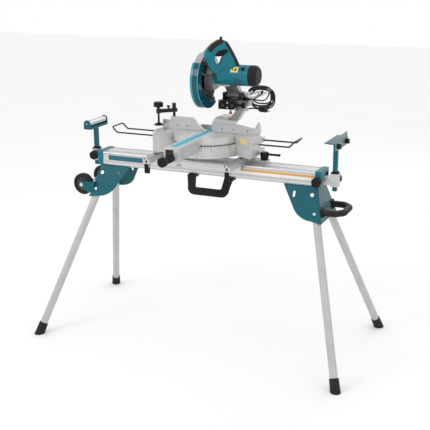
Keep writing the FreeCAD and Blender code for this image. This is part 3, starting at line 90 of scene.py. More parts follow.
def make_studio():
    """Pale floor, white surroundings and three soft lights."""
    world = bpy.data.worlds.new("studio")
    world.use_nodes = True
    background = world.node_tree.nodes["Background"]
    background.inputs["Color"].default_value = (1, 1, 1, 1)
    background.inputs["Strength"].default_value = 1.0
    bpy.context.scene.world = world
    bpy.context.scene.view_settings.view_transform = "Standard"
    mesh = bpy.data.meshes.new("floor")
    corners = [(x * FLOOR_REACH, y * FLOOR_REACH, 0) for x, y in ((-1, -1), (1, -1), (1, 1), (-1, 1))]
    mesh.from_pydata(corners, [], [(0, 1, 2, 3)])
    floor = bpy.data.objects.new("floor", mesh)
    bpy.context.scene.collection.objects.link(floor)
    floor.location.z = -FLOOR_GAP
    floor.data.materials.append(finish("floor_white", (0.93, 0.93, 0.93), 0.8, grain=40, variation=0.004))
    area_light("key", (-2.2, -3.2, 3.6), (0, 0, 0.9), 1.8, 34)
    area_light("fill", (3.6, -2.2, 2.2), (0, 0, 0.9), 3.0, 6)
    area_light("back", (0.5, 3.4, 3.2), (0, 0, 1.0), 2.4, 14)


# ---------------------------------------------------------------- materials

made_finishes = {}
DUST_COLOUR = (0.55, 0.53, 0.50, 1.0)
BROAD_GRAIN = 28


def finish(name, colour, roughness, metal=0.0, grain=300.0, variation=0.08, bump=0.1, rough_swing=0.08,
           stretch=(1, 1, 1), coat=0.0, alpha=1.0, dust=0.0, shine=0.5):
    """Procedural finish: fine grain in colour, roughness and relief, with optional dust on top."""
    if name in made_finishes:
        return made_finishes[name]
    material = bpy.data.materials.new("finish_" + name)
    made_finishes[name] = material
    material.use_nodes = True
    tree = material.node_tree
    nodes, links = tree.nodes, tree.links
    shader = nodes["Principled BSDF"]
    shader.inputs["Metallic"].default_value = metal
    shader.inputs["Alpha"].default_value = alpha
    shader.inputs["Specular IOR Level"].default_value = shine
    shader.inputs["Coat Weight"].default_value = coat
    shader.inputs["Coat Roughness"].default_value = 0.15
    place = nodes.new("ShaderNodeTexCoord")
    mapping = nodes.new("ShaderNodeMapping")
    mapping.inputs["Scale"].default_value = stretch
    links.new(place.outputs["Object"], mapping.inputs["Vector"])

    def noise(scale, detail):
        node = nodes.new("ShaderNodeTexNoise")
        node.inputs["Scale"].default_value = scale
        node.inputs["Detail"].default_value = detail
        links.new(mapping.outputs["Vector"], node.inputs["Vector"])
        return node.outputs["Fac"]

    def mix(factor, first, second):
        node = nodes.new("ShaderNodeMix")
        node.data_type = "RGBA"
        for socket, value in ((node.inputs[0], factor), (node.inputs[6], first), (node.inputs[7], second)):
            if isinstance(value, (tuple, float)):
                socket.default_value = value
            else:
                links.new(value, socket)
        return node.outputs[2]

    def spread(source, low, high, from_low=0.35, from_high=0.65):
        node = nodes.new("ShaderNodeMapRange")
        links.new(source, node.inputs["Value"])
        limits = {"From Min": from_low, "From Max": from_high, "To Min": low, "To Max": high}
        for socket, value in limits.items():
            node.inputs[socket].default_value = value
        return node.outputs["Result"]

    fine, broad = noise(grain, 3), noise(grain / BROAD_GRAIN, 4)
    dark = tuple(value * (1 - variation) for value in colour) + (1.0,)
    light = tuple(min(1.0, value * (1 + variation) + variation * 0.02) for value in colour) + (1.0,)
    tint = mix(spread(broad, 0.0, 1.0), dark, light)
    tint = mix(spread(fine, 0.0, variation * 2), tint, tuple(value * 0.75 for value in colour) + (1.0,))
    if dust:
        geometry = nodes.new("ShaderNodeNewGeometry")
        split = nodes.new("ShaderNodeSeparateXYZ")
        links.new(geometry.outputs["Normal"], split.inputs[0])
        multiply = nodes.new("ShaderNodeMath")
        multiply.operation = "MULTIPLY"
        links.new(spread(split.outputs["Z"], 0.0, dust, 0.6, 1.0), multiply.inputs[0])
        links.new(spread(broad, 0.2, 1.0), multiply.inputs[1])
        tint = mix(multiply.outputs[0], tint, DUST_COLOUR)
    links.new(tint, shader.inputs["Base Color"])
    links.new(spread(fine, max(0.02, roughness - rough_swing), min(1, roughness + rough_swing)),
              shader.inputs["Roughness"])
    relief = nodes.new("ShaderNodeBump")
    relief.inputs["Strength"].default_value = bump
    relief.inputs["Distance"].default_value = 0.0006
    links.new(fine, relief.inputs["Height"])
    links.new(relief.outputs["Normal"], shader.inputs["Normal"])
    return material


FINISHES = {
    "beam_aluminium": dict(colour=(0.64, 0.64, 0.64), roughness=0.33, metal=0.75, grain=900,
                           stretch=(0.02, 1, 1), variation=0.06, bump=0.12),
    "arm_aluminium": dict(colour=(0.58, 0.58, 0.58), roughness=0.35, metal=0.75, grain=900,
                          stretch=(1, 0.02, 1), variation=0.06, bump=0.12),
    "tube_aluminium": dict(colour=(0.52, 0.525, 0.535), roughness=0.36, metal=0.8, grain=800,
                           stretch=(0.03, 1, 1), variation=0.07, bump=0.15),
    "leg_grey": dict(colour=(0.50, 0.49, 0.475), roughness=0.38, metal=0.45, grain=500, variation=0.05,
                     bump=0.08, coat=0.15),
    "teal_paint": dict(colour=(0.0, 0.100, 0.130), roughness=0.36, grain=420, variation=0.06, bump=0.2,
                       shine=0.25),
    "teal_moulding": dict(colour=(0.0, 0.150, 0.205), roughness=0.36, grain=700, variation=0.06,
                          bump=0.18, shine=0.3),
    "cast_aluminium": dict(colour=(0.60, 0.595, 0.585), roughness=0.42, metal=0.55, grain=650,
                           variation=0.07, bump=0.35),
    "fence_aluminium": dict(colour=(0.56, 0.56, 0.56), roughness=0.36, metal=0.6, grain=600,
                            stretch=(0.1, 1, 1), variation=0.07, bump=0.2),
    "case_aluminium": dict(colour=(0.46, 0.46, 0.46), roughness=0.4, metal=0.7, grain=520,
                           variation=0.08, bump=0.4),
    "black_plastic": dict(colour=(0.008, 0.008, 0.009), roughness=0.45, grain=900, variation=0.15,
                          bump=0.3, shine=0.15),
    "dark_cap": dict(colour=(0.014, 0.011, 0.011), roughness=0.5, grain=900, variation=0.12, bump=0.35,
                     shine=0.18),
    "black_steel": dict(colour=(0.009, 0.009, 0.01), roughness=0.32, metal=0.2, grain=600,
                        variation=0.1, bump=0.15, coat=0.2, shine=0.3),
    "bolt_steel": dict(colour=(0.62, 0.62, 0.62), roughness=0.3, metal=0.95, grain=700, variation=0.1,
                       bump=0.12),
    "chrome": dict(colour=(0.50, 0.50, 0.52), roughness=0.12, metal=1.0, grain=500, variation=0.03,
                   bump=0.03, rough_swing=0.04),
    "blade_steel": dict(colour=(0.17, 0.17, 0.18), roughness=0.25, metal=1.0, grain=400,
                        variation=0.06, bump=0.1),
    "stop_grey": dict(colour=(0.16, 0.23, 0.24), roughness=0.4, metal=0.3, grain=500, variation=0.06,
                      bump=0.15),
    "rubber": dict(colour=(0.008, 0.008, 0.009), roughness=0.6, grain=800, variation=0.2, bump=0.35,
                   dust=0.1, shine=0.3),
    "tyre": dict(colour=(0.009, 0.009, 0.01), roughness=0.62, grain=600, variation=0.2, bump=0.4,
                 dust=0.08, shine=0.3),
    "board_cyan": dict(colour=(0.12, 0.50, 0.60), roughness=0.45, grain=500, variation=0.06, bump=0.15),
    # Lighter copy of the guard's clear cyan, for its edges and ribs: partly its own colour, partly painted
    # light.
    "guard_clear": dict(colour=(0.01, 0.42, 0.58), roughness=0.1, grain=200, variation=0.05, bump=0.03,
                        alpha=0.72),
    "cord_rubber": dict(colour=(0.007, 0.007, 0.009), roughness=0.42, grain=900, variation=0.1,
                        bump=0.2, shine=0.3),
    "strip_teal": dict(colour=(0.0, 0.12, 0.155), roughness=0.35, grain=500, variation=0.05, bump=0.05),
    "strip_white": dict(colour=(0.78, 0.78, 0.78), roughness=0.4, grain=500, variation=0.04, bump=0.05),
    "strip_orange": dict(colour=(0.75, 0.36, 0.04), roughness=0.4, grain=400, variation=0.08,
                         bump=0.05),
    "print_black": dict(colour=(0.02, 0.02, 0.02), roughness=0.5, grain=500, variation=0.1, bump=0.05),
    "label_yellow": dict(colour=(0.72, 0.58, 0.16), roughness=0.4, grain=500, variation=0.04,
                         bump=0.05),
    "brown_rubber": dict(colour=(0.016, 0.009, 0.008), roughness=0.5, grain=900, variation=0.15,
                         bump=0.35, shine=0.3),
    # Darker copy of the same clear cyan: painted shade where the dark blade and case show through the guard.
    "guard_wall_shaded": dict(colour=(0.0, 0.075, 0.095), roughness=0.1, grain=200, variation=0.05, bump=0.03,
                       alpha=0.85),
    "brass": dict(colour=(0.62, 0.20, 0.08), roughness=0.3, metal=0.6, grain=600, variation=0.08,
                  bump=0.1),
    "groove_grey": dict(colour=(0.20, 0.20, 0.21), roughness=0.5, metal=0.3, grain=600, variation=0.1,
                        bump=0.1),
    "closure_teal": dict(colour=(0.055, 0.13, 0.145), roughness=0.4, grain=420, variation=0.06,
                         bump=0.2),
    "hub_grey": dict(colour=(0.03, 0.024, 0.022), roughness=0.5, grain=700, variation=0.1, bump=0.2),
}


def paint(obj, name):
    """Gives an object one of the named finishes, in every material slot."""
    material = finish(name, **FINISHES[name])
    if not obj.data.materials:
        obj.data.materials.append(material)
    for slot in obj.material_slots:
        slot.material = material
    return obj


def smooth_by_angle(obj, degrees=35):
    """Smooth shading with crisp edges, kept in the mesh."""
    limit = math.radians(degrees)
    mesh = obj.data
    work = bmesh.new()
    work.from_mesh(mesh)
    for face in work.faces:
        face.smooth = True
    for edge in work.edges:
        edge.smooth = len(edge.link_faces) == 2 and edge.calc_face_angle() < limit
    work.to_mesh(mesh)
    work.free()


# ---------------------------------------------------------------- mesh building; sizes here are millimetres

MM = 0.001
SAW_X = -7
AXES = {"XY": (0, 1, 2), "XZ": (0, 2, 1), "YZ": (1, 2, 0)}


def add_piece(name, mesh, body, look, crisp=35, replaces=()):
    """Links a mesh as a piece that rides on a body, with its finish."""
    obj = bpy.data.objects.new(name, mesh)
    bpy.context.scene.collection.objects.link(obj)
    paint(obj, look)
    smooth_by_angle(obj, crisp)
    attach(obj, body)
    if replaces:
        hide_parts(*replaces)
    return obj


def prism(work, outline, plane, low, high):
    """Adds a prism of an outline between two levels along the plane's own axis."""
    first, second, third = AXES[plane]
    rings = []
    for level in (low, high):
        ring = []
        for point in outline:
            place = [0.0, 0.0, 0.0]
            place[first], place[second], place[third] = point[0] * MM, point[1] * MM, level * MM
            ring.append(work.verts.new(place))
        rings.append(ring)
    count = len(outline)
    faces = [work.faces.new(rings[0][::-1]), work.faces.new(rings[1])]
    for i in range(count):
        j = (i + 1) % count
        faces.append(work.faces.new((rings[0][i], rings[0][j], rings[1][j], rings[1][i])))
    bmesh.ops.recalc_face_normals(work, faces=faces)
    return faces


def rounded(outline, radius, steps=4):
    """Rounds the corners of an outline of (x, y) points."""
    result = []
    count = len(outline)
    for i in range(count):
        before, here, after = (Vector(outline[(i + k) % count]) for k in (-1, 0, 1))
        to_before, to_after = before - here, after - here
        reach = min(radius, to_before.length * 0.45, to_after.length * 0.45)
        start = here + to_before.normalized() * reach
        end = here + to_after.normalized() * reach
        for k in range(steps + 1):
            t = k / steps
            result.append(tuple(start * (1 - t) ** 2 + here * 2 * t * (1 - t) + end * t ** 2))
    return result


def rectangle(x0, x1, y0, y1):
    """The four corners of a rectangle."""
    return [(x0, y0), (x1, y0), (x1, y1), (x0, y1)]


def bevel_edges(work, width, segments=2, angle=30):
    """Bevels every edge sharper than an angle."""
    if width <= 0:
        return
    edges = [edge for edge in work.edges
             if len(edge.link_faces) == 2 and edge.calc_face_angle() > math.radians(angle)]
    bmesh.ops.bevel(work, geom=edges, offset=width * MM, segments=segments, profile=0.7, affect="EDGES",
                    clamp_overlap=True)


def finish_mesh(work, name):
    """Turns the work mesh into data."""
    mesh = bpy.data.meshes.new(name)
    work.to_mesh(mesh)
    work.free()
    return mesh


def solids(name, body, look, shapes, bevel=0.6, place=None, replaces=()):
    """One piece from several prisms, each (outline, plane, low, high)."""
    work = bmesh.new()
    for outline, plane, low, high in shapes:
        prism(work, outline, plane, low, high)
    bevel_edges(work, bevel)
    if place is not None:
        bmesh.ops.transform(work, matrix=place, verts=work.verts)
    return add_piece(name, finish_mesh(work, name), body, look, replaces=replaces)


def lathe(work, profile, axis, centre, steps=48, flutes=0, flute_depth=0.0, flute_span=None):
    """Adds a turned shape; profile is (radius, height) along the axis from a centre.

    Flutes hollow the heights within flute_span.
    """
    third = "XYZ".index(axis)
    first, second = [k for k in range(3) if k != third]
    rings = []
    for radius, height in profile:
        ring = []
        for i in range(steps):
            angle = 2 * math.pi * i / steps
            reach = radius
            if flutes and flute_span and flute_span[0] <= height <= flute_span[1]:
                reach -= flute_depth * (0.5 + 0.5 * math.cos(flutes * angle)) ** 2
            place = [0.0, 0.0, 0.0]
            place[first] = (centre[first] + reach * math.cos(angle)) * MM
            place[second] = (centre[second] + reach * math.sin(angle)) * MM
            place[third] = (centre[third] + height) * MM
            ring.append(work.verts.new(place))
        rings.append(ring)
    faces = []
    for lower, upper in zip(rings, rings[1:]):
        for i in range(steps):
            j = (i + 1) % steps
            faces.append(work.faces.new((lower[i], lower[j], upper[j], upper[i])))
    faces.append(work.faces.new(rings[0][::-1]))
    faces.append(work.faces.new(rings[-1]))
    bmesh.ops.recalc_face_normals(work, faces=faces)


def turned(name, body, look, profile, axis, centre, place=None, replaces=(), **more):
    """One turned piece."""
    work = bmesh.new()
    lathe(work, profile, axis, centre, **more)
    if place is not None:
        bmesh.ops.transform(work, matrix=place, verts=work.verts)
    return add_piece(name, finish_mesh(work, name), body, look, replaces=replaces)


def square_ring(work, outer, inner, low, high, centre):
    """Adds an upright square ring with its hole."""
    x, y = centre
    corners = []
    for half in (outer, inner):
        for level in (low, high):
            corners.append([work.verts.new(((x + sx * half) * MM, (y + sy * half) * MM, level * MM))
                            for sx, sy in ((-1, -1), (1, -1), (1, 1), (-1, 1))])
    outer_low, outer_high, inner_low, inner_high = corners
    faces = []
    for i in range(4):
        j = (i + 1) % 4
        faces.append(work.faces.new((outer_low[i], outer_low[j], outer_high[j], outer_high[i])))
        faces.append(work.faces.new((inner_low[j], inner_low[i], inner_high[i], inner_high[j])))
        faces.append(work.faces.new((outer_high[i], outer_high[j], inner_high[j], inner_high[i])))
        faces.append(work.faces.new((outer_low[j], outer_low[i], inner_low[i], inner_low[j])))
    bmesh.ops.recalc_face_normals(work, faces=faces)


def centre_of(node):
    """Middle of a CAD node's box, in millimetres."""
    low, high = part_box(node)
    return (low + high) / 2 / MM


def span_of(node):
    """Lowest and highest corners of a CAD node, in millimetres."""
    low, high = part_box(node)
    return low / MM, high / MM


# ---------------------------------------------------------------- stand details

def make_beam_strips():
    """Plain strip at the front left and scale strip at the front right, in the beam's label band."""
    band_depth, strip_sheet = 1.5, 0.9
    band_face = span_of("beam")[0].y + band_depth
    front = band_face - strip_sheet
    solids("beam_strip", "stand", "strip_teal",
           [(rectangle(-541, -341, 884, 909), "XZ", front, band_face)], 0.2)
    solids("scale_strip_white", "stand", "strip_white",
           [(rectangle(190, 572, 883.5, 896.6), "XZ", front, band_face)], 0.2)
    solids("scale_strip_orange", "stand", "strip_orange",
           [(rectangle(196, 572, 897.2, 907), "XZ", front, band_face)], 0.2)
    first_tick, tick_pitch, tick_foot, tick_half = 200, 10, 897.6, 0.4
    ticks = []
    for i in range(38):
        x = first_tick + tick_pitch * i
        reach = 8 if i % 5 == 0 else 4.5
        outline = rectangle(x - tick_half, x + tick_half, tick_foot, tick_foot + reach)
        ticks.append((outline, "XZ", front - 0.15, front + 0.2))
    solids("scale_ticks", "stand", "print_black", ticks, 0)


def make_collars():
    """Black guide collars where the posts enter their clamp blocks."""
    for side, body in (("left", "extension_left"), ("right", "extension_right")):
        centre = centre_of("post_knob_" + side)
        low, high = span_of("extension_" + side)
        y = (low.y + high.y) / 2
        top = high.z
        post_way = 10.4
        work = bmesh.new()
        square_ring(work, 17, post_way, top, top + 5, (centre.x, y))
        square_ring(work, 14, post_way, top + 5, top + 9, (centre.x, y))
        add_piece("post_collar_" + side, finish_mesh(work, "post_collar_" + side), body, "black_plastic")


def make_wheel_hubs():
    """Grey hub discs with ribs, in the dished faces of the wheels."""
    for name in ("front", "rear"):
        low, high = span_of("wheel_" + name)
        centre = (low + high) / 2
        for side, face in ((-1, low.y), (1, high.y)):
            work = bmesh.new()
            level = face - side * 4.6
            lathe(work, [(19.5, 0), (19.5, side * 1.6), (36.5, side * 1.6), (36.5, 0)], "Y",
                  (centre.x, level, centre.z), steps=48)
            for i in range(8):
                angle = math.pi * i / 4
                along = Vector((math.cos(angle), math.sin(angle)))
                across = Vector((-along.y, along.x)) * 1.6
                foot, tip = along * 19.8, along * 36
                corners = (foot - across, tip - across, tip + across, foot + across)
                outline = [(centre.x + p.x, centre.z + p.y) for p in corners]
                near, far = sorted((level + side * 1.5, level + side * 4.0))
                prism(work, outline, "XZ", near, far)
            label = "hub_%s_%s" % (name, "outer" if side < 0 else "inner")
            add_piece(label, finish_mesh(work, label), "wheel_" + name, "hub_grey")


# ---------------------------------------------------------------- saw base and table details

def make_table_details():
    """Ticks of the mitre scale and the plain label on the base."""
    scale_centre = Vector((SAW_X, 10))
    work = bmesh.new()
    for i in range(-10, 13):
        angle = math.radians(-90 + 5 * i)
        tall = 24 if i % 3 == 0 else 13
        across = Vector((-math.sin(angle), math.cos(angle))) * 0.7
        outwards = Vector((math.cos(angle), math.sin(angle)))
        foot = scale_centre + outwards * 181.6
        tip = scale_centre + outwards * 182.5
        outline = [foot - across, tip - across, tip + across, foot + across]
        prism(work, [tuple(p) for p in outline], "XY", 1021.5 - tall, 1021.8)
    add_piece("mitre_scale_ticks", finish_mesh(work, "mitre_scale_ticks"), "saw_mount", "print_black")
    corner, far_corner = Vector((168, -42)), Vector((258, -87))
    along = (far_corner - corner).normalized()
    out = Vector((along.y, -along.x))
    start, end = corner + along * 30, corner + along * 74
    solids("base_label", "saw_mount", "label_yellow",
           [([tuple(start - out * 0.3), tuple(end - out * 0.3), tuple(end + out * 0.6),
              tuple(start + out * 0.6)], "XY", 1029, 1054)], 0.2)


def make_fence_details():
    """Screws in the main fence."""
    face = span_of("fence")[0].y
    for i, (x, z) in enumerate(((-173, 1081), (-120, 1081), (70, 1078), (130, 1078), (205, 1080))):
        turned("fence_screw_%d" % i, "saw_mount", "print_black",
               [(3.4, -0.4), (3.4, 0.5), (2.2, 0.5), (2.0, 0.1), (0.01, 0.1)], "Y",
               (x, face - 0.3, z), steps=20)


def curved_patch(work, centre, radius, thickness, angles, low_x, high_x, steps=10):
    """Adds a thin patch bent round an axis along X; angles go from the rear (0) over the top (90)."""
    rings = []
    for reach in (radius, radius + thickness):
        for x in (low_x, high_x):
            ring = []
            for i in range(steps + 1):
                angle = math.radians(angles[0] + (angles[1] - angles[0]) * i / steps)
                ring.append(work.verts.new((x * MM, (centre[1] + reach * math.cos(angle)) * MM,
                                            (centre[2] + reach * math.sin(angle)) * MM)))
            rings.append(ring)
    inner_low, inner_high, outer_low, outer_high = rings
    faces = []
    for first, second in ((inner_low, inner_high), (inner_high, outer_high), (outer_high, outer_low),
                          (outer_low, inner_low)):
        for i in range(steps):
            faces.append(work.faces.new((first[i], first[i + 1], second[i + 1], second[i])))
    for i in (0, steps):
        faces.append(work.faces.new((inner_low[i], inner_high[i], outer_high[i], outer_low[i])))
    bmesh.ops.recalc_face_normals(work, faces=faces)


def patch_piece(name, body, look, centre, radius, thickness, angles, low_x, high_x, steps=10, replaces=()):
    """One bent patch as a piece."""
    work = bmesh.new()
    curved_patch(work, centre, radius, thickness, angles, low_x, high_x, steps)
    return add_piece(name, finish_mesh(work, name), body, look, replaces=replaces)


# ---------------------------------------------------------------- saw head

BLADE_CENTRE = centre_of("blade")
BLADE_CENTRE.x = SAW_X
GUARD_SECTOR = (138, 300)
MOTOR = (0, 10, 1346)
MOTOR_RADIUS = 50
HANDLE_PLACE = (Matrix.Translation(Vector((32, -94, 0)) * MM)
                @ Matrix.Rotation(math.radians(40), 4, "Z"))


def moulded(name, body, look, outline, hole, half, soften, replaces=()):
    """A moulding in the handle's plane with rounded edges, from an outline and a hole in (along, height)."""
    curve = bpy.data.curves.new(name, "CURVE")
    curve.dimensions = "2D"
    curve.fill_mode = "BOTH"
    curve.extrude = (half - soften) * MM
    curve.bevel_depth = soften * MM
    curve.offset = -soften * MM
    curve.bevel_resolution = 3
    for points in (outline, hole):
        if not points:
            continue
        spline = curve.splines.new("POLY")
        spline.points.add(len(points) - 1)
        for point, (along, height) in zip(spline.points, points):
            point.co = (along * MM, height * MM, 0, 1)
        spline.use_cyclic_u = True
    drawn = bpy.data.objects.new(name + "_curve", curve)
    bpy.context.scene.collection.objects.link(drawn)
    shape = bpy.data.meshes.new_from_object(drawn.evaluated_get(bpy.context.evaluated_depsgraph_get()))
    bpy.data.objects.remove(drawn)
    bpy.data.curves.remove(curve)
    shape.transform(HANDLE_PLACE @ Matrix.Rotation(math.radians(90), 4, "X"))
    work = bmesh.new()
    work.from_mesh(shape)
    bmesh.ops.remove_doubles(work, verts=work.verts, dist=0.00002)
    bmesh.ops.recalc_face_normals(work, faces=work.faces)
    bpy.data.meshes.remove(shape)
    return add_piece(name, finish_mesh(work, name), body, look, crisp=50, replaces=replaces)


def blade_arc(radius, angles):
    """Points on a circle round the blade's axis, seen from the side."""
    return [(BLADE_CENTRE.y + radius * math.cos(math.radians(angle)),
             BLADE_CENTRE.z + radius * math.sin(math.radians(angle))) for angle in angles]


def make_handle():
    """The D-handle with its rubber grip, trim and seam, and the motor barrel with labels and vents."""
    outline = rounded([(56, 1322), (52, 1351), (27, 1374), (13, 1396), (-6, 1440), (-3, 1466),
                       (33, 1497), (60, 1513), (85, 1517), (104, 1506), (123, 1475), (143, 1439),
                       (166, 1390), (166, 1350), (120, 1330)], 9)
    hole = rounded([(52, 1400), (43, 1428), (46, 1449), (60, 1463), (84, 1471), (104, 1470), (110, 1462),
                    (98, 1452), (84, 1440), (73, 1410), (62, 1397)], 5)
    moulded("handle_body", "head", "teal_moulding", outline, hole, 17, 5, replaces=("motor_housing",))
    grip = rounded([(7, 1475), (33, 1499), (60, 1515), (80, 1519), (88, 1512), (83, 1498), (52, 1486),
                    (26, 1459), (14, 1462)], 6)
    moulded("handle_grip_rubber", "head", "brown_rubber", grip, (), 18.2, 5)
    trim = rounded([(90, 1514), (105, 1507), (125, 1475), (145, 1439), (168, 1390), (150, 1384),
                    (130, 1430), (110, 1468), (94, 1496)], 4)
    moulded("handle_trim", "head", "brown_rubber", trim, (), 17.7, 3)
    lip = [(44, 1444), (60, 1465), (84, 1473), (106, 1472), (112, 1462), (100, 1455), (84, 1447),
           (64, 1444), (52, 1439)]
    for side, low, high in (("near", -13, -9.2), ("far", 9.2, 13)):
        solids("trigger_recess_" + side, "head", "black_plastic", [(lip, "XZ", low, high)], 0.6, HANDLE_PLACE)
    seam = rounded([(30, 1352), (34, 1352), (100, 1382), (98, 1385)], 1)
    moulded("handle_seam", "head", "print_black", seam, (), 17.3, 0.3)
    barrel = [(0.01, 45), (MOTOR_RADIUS, 45), (MOTOR_RADIUS, 70), (48.9, 71), (48.9, 73),
              (MOTOR_RADIUS, 74), (MOTOR_RADIUS, 196), (49, 197), (49, 199), (MOTOR_RADIUS, 200),
              (MOTOR_RADIUS, 221.9), (0.01, 221.9)]
    turned("motor_barrel", "head", "teal_moulding", barrel, "X", MOTOR, steps=72)
    patch_piece("motor_label", "head", "label_yellow", MOTOR, MOTOR_RADIUS, 0.4, (122, 158), 134, 172)
    patch_piece("motor_label_print", "head", "print_black", MOTOR, 50.3, 0.2,
                (132, 147), 140, 146)
    patch_piece("motor_label_mark", "head", "print_black", MOTOR, 50.3, 0.2,
                (136, 150), 154, 163)
    place = Matrix.Translation(Vector((195, 10, 1346)) * MM) @ Matrix.Rotation(math.radians(46), 4, "X")
    turned("brush_cap", "head", "dark_cap", [(9.5, 48), (9.5, 52.5), (7.5, 54), (0.01, 54)], "Z", (0, 0, 0),
           place=place, steps=32)
    for i in range(9):
        start = 196 + 9 * i
        patch_piece("motor_vent_%d" % i, "head", "print_black", MOTOR, 49.7, 0.5, (start, start + 4),
                    150, 190, steps=2)


def make_gear_housing():
    """Fins on the gear housing with a black band under them as painted shade, and the dark cover and screws
    on the blade case.
    """
    first_fin, fin_pitch, fin_thickness = 13, 6.4, 2.6
    for i in range(5):
        x = first_fin + fin_pitch * i
        patch_piece("gear_fin_%d" % i, "head", "case_aluminium", BLADE_CENTRE, 45.5, 3.2, (95, 270),
                    x, x + fin_thickness, steps=24)
    # Black band round the housing under the fins: painted shade between them.
    patch_piece("gear_fin_shade", "head", "print_black", BLADE_CENTRE, 45.8, 0.6, (90, 275),
                10.2, 44, steps=24)
    work = bmesh.new()
    outline = blade_arc(127, range(60, 151, 6)) + blade_arc(52, range(150, 59, -10))
    prism(work, outline, "YZ", 10.1, 11.2)
    bevel_edges(work, 0.3)
    add_piece("case_cover", finish_mesh(work, "case_cover"), "head", "black_plastic")
    screw_circle = 114
    for i, angle in enumerate((66, 84, 102, 120, 138)):
        spot = (11.1, BLADE_CENTRE.y + screw_circle * math.cos(math.radians(angle)),
                BLADE_CENTRE.z + screw_circle * math.sin(math.radians(angle)))
        turned("case_screw_%d" % i, "head", "bolt_steel",
               [(4.2, -0.5), (4.2, 0.6), (2.3, 0.6), (2.1, 0.3), (0.01, 0.3)], "X", spot, steps=24)


def make_guard():
    """Lower guard: partly clear rim and walls in a darker copy of its cyan, painted shade where the dark
    blade shows through, and edges and ribs in a lighter copy, partly painted light.
    """
    low, high = span_of("lower_guard")
    outer = BLADE_CENTRE.y - low.y
    sheet = 2.5
    # Rim and both walls in the darker copy of the guard's cyan: painted shade where the blade and case behind
    # show dark.
    patch_piece("guard_rim", "guard", "guard_wall_shaded", BLADE_CENTRE, outer - 3, 3, GUARD_SECTOR,
                low.x + sheet, high.x, steps=60, replaces=("lower_guard",))
    wall_reach = 96
    patch_piece("guard_right_wall", "guard", "guard_wall_shaded", BLADE_CENTRE, wall_reach, outer - wall_reach,
                GUARD_SECTOR, high.x - 2, high.x, steps=60)
    # Edges in the lighter copy: the guard's cyan with painted light along them.
    for name, from_x, to_x in (("left", low.x, low.x + 11), ("right", high.x - 5, high.x)):
        patch_piece("guard_edge_" + name, "guard", "guard_clear", BLADE_CENTRE, outer - 0.1, 0.8,
                    GUARD_SECTOR, from_x, to_x, steps=60)
    work = bmesh.new()
    outline = blade_arc(outer, range(138, 301, 3)) + blade_arc(24, range(300, 499, 18))
    prism(work, outline, "YZ", low.x, low.x + sheet)
    add_piece("guard_wall_shaded", finish_mesh(work, "guard_wall_shaded"), "guard", "guard_wall_shaded")
    # Ribs in the lighter copy as well: partly the guard's own cyan, partly painted light.
    for i, reach in enumerate((outer - 12, outer - 34)):
        patch_piece("guard_rib_%d" % i, "guard", "guard_clear", BLADE_CENTRE, reach, 1.4, (142, 296),
                    low.x - 0.9, low.x + 0.1, steps=48)


def make_slide_details():
    """Rings and plugs at the poles' ends, lock knob, bolts, hinge spring, brass stop and bevel scale."""
    for i, x in enumerate((55, 105)):
        pole_end = (x, 56, 1190)
        turned("pole_ring_%d" % i, "slide", "black_plastic",
               [(18, 0), (18, -4), (15, -6), (14.5, -6), (14.5, 0)], "Y", pole_end, steps=40)
        turned("pole_end_%d" % i, "slide", "hub_grey",
               [(11.5, 0), (11.5, -5), (9.5, -6.5), (0.01, -6.5)], "Y", pole_end, steps=32)
    turned("slide_lock_knob", "slide", "black_plastic",
           [(5, 0), (5, 10), (14, 12), (15, 15), (15, 26), (12, 29), (0.01, 29)], "X", (130, 92, 1186),
           steps=60, flutes=8, flute_depth=2.2, flute_span=(12, 27))
    for i, (x, y, z) in enumerate(((80, 54.5, 1202), (80, 54.5, 1178), (38, 54.5, 1205), (122, 54.5, 1175))):
        turned("carriage_bolt_%d" % i, "slide", "bolt_steel",
               [(4, 1), (4, -3), (2.2, -3), (2, -1.4), (0.01, -1.4)], "Y", (x, y, z),
               steps=6 if i % 2 else 20)
    turned("hinge_spring", "slide", "bolt_steel",
           [(9.5 if i % 2 else 8.2, 2.0 * i) for i in range(14)], "X", (130.5, 150, 1236), steps=28)
    turned("bevel_stop", "bevel", "brass",
           [(0.01, -7), (6, -7), (9, -4), (9, 5), (6, 8), (3.2, 9), (3.2, 40)], "Z",
           (38, 190, 1126), steps=36)
    solids("bevel_scale", "bevel", "strip_white",
           [(rectangle(102, 133, 1140, 1160), "XZ", 195.2, 196.1)], 0.2)
    for i, (x, z) in enumerate(((118, 1178), (122, 1206))):
        turned("arm_bolt_%d" % i, "bevel", "bolt_steel", [(6, 0.5), (6, -5), (0.01, -5)], "Y",
               (x, 196, z), steps=6)


# ---------------------------------------------------------------- cord

CORD_DIAMETER = 8
LEAD = [(143, 150, 1209), (167, 152, 1208), (189, 174, 1203), (195, 216, 1194), (193, 262, 1188),
        (187, 308, 1188), (179, 354, 1195), (169, 394, 1207), (157, 422, 1219), (157, 443, 1219)]
TAIL = [(5, 482, 1148), (0, 462, 1124), (10, 440, 1108), (36, 425, 1108), (66, 422, 1114),
        (84, 422, 1114), (104, 422, 1114)]
COIL_X, COIL_Z = 98, 1169
COIL_FRONT, COIL_PITCH = 448, 8.15
COIL_TURNS, COIL_REACH_X, COIL_REACH_Z = 5.42, 76, 58
COIL_STEPS = 18


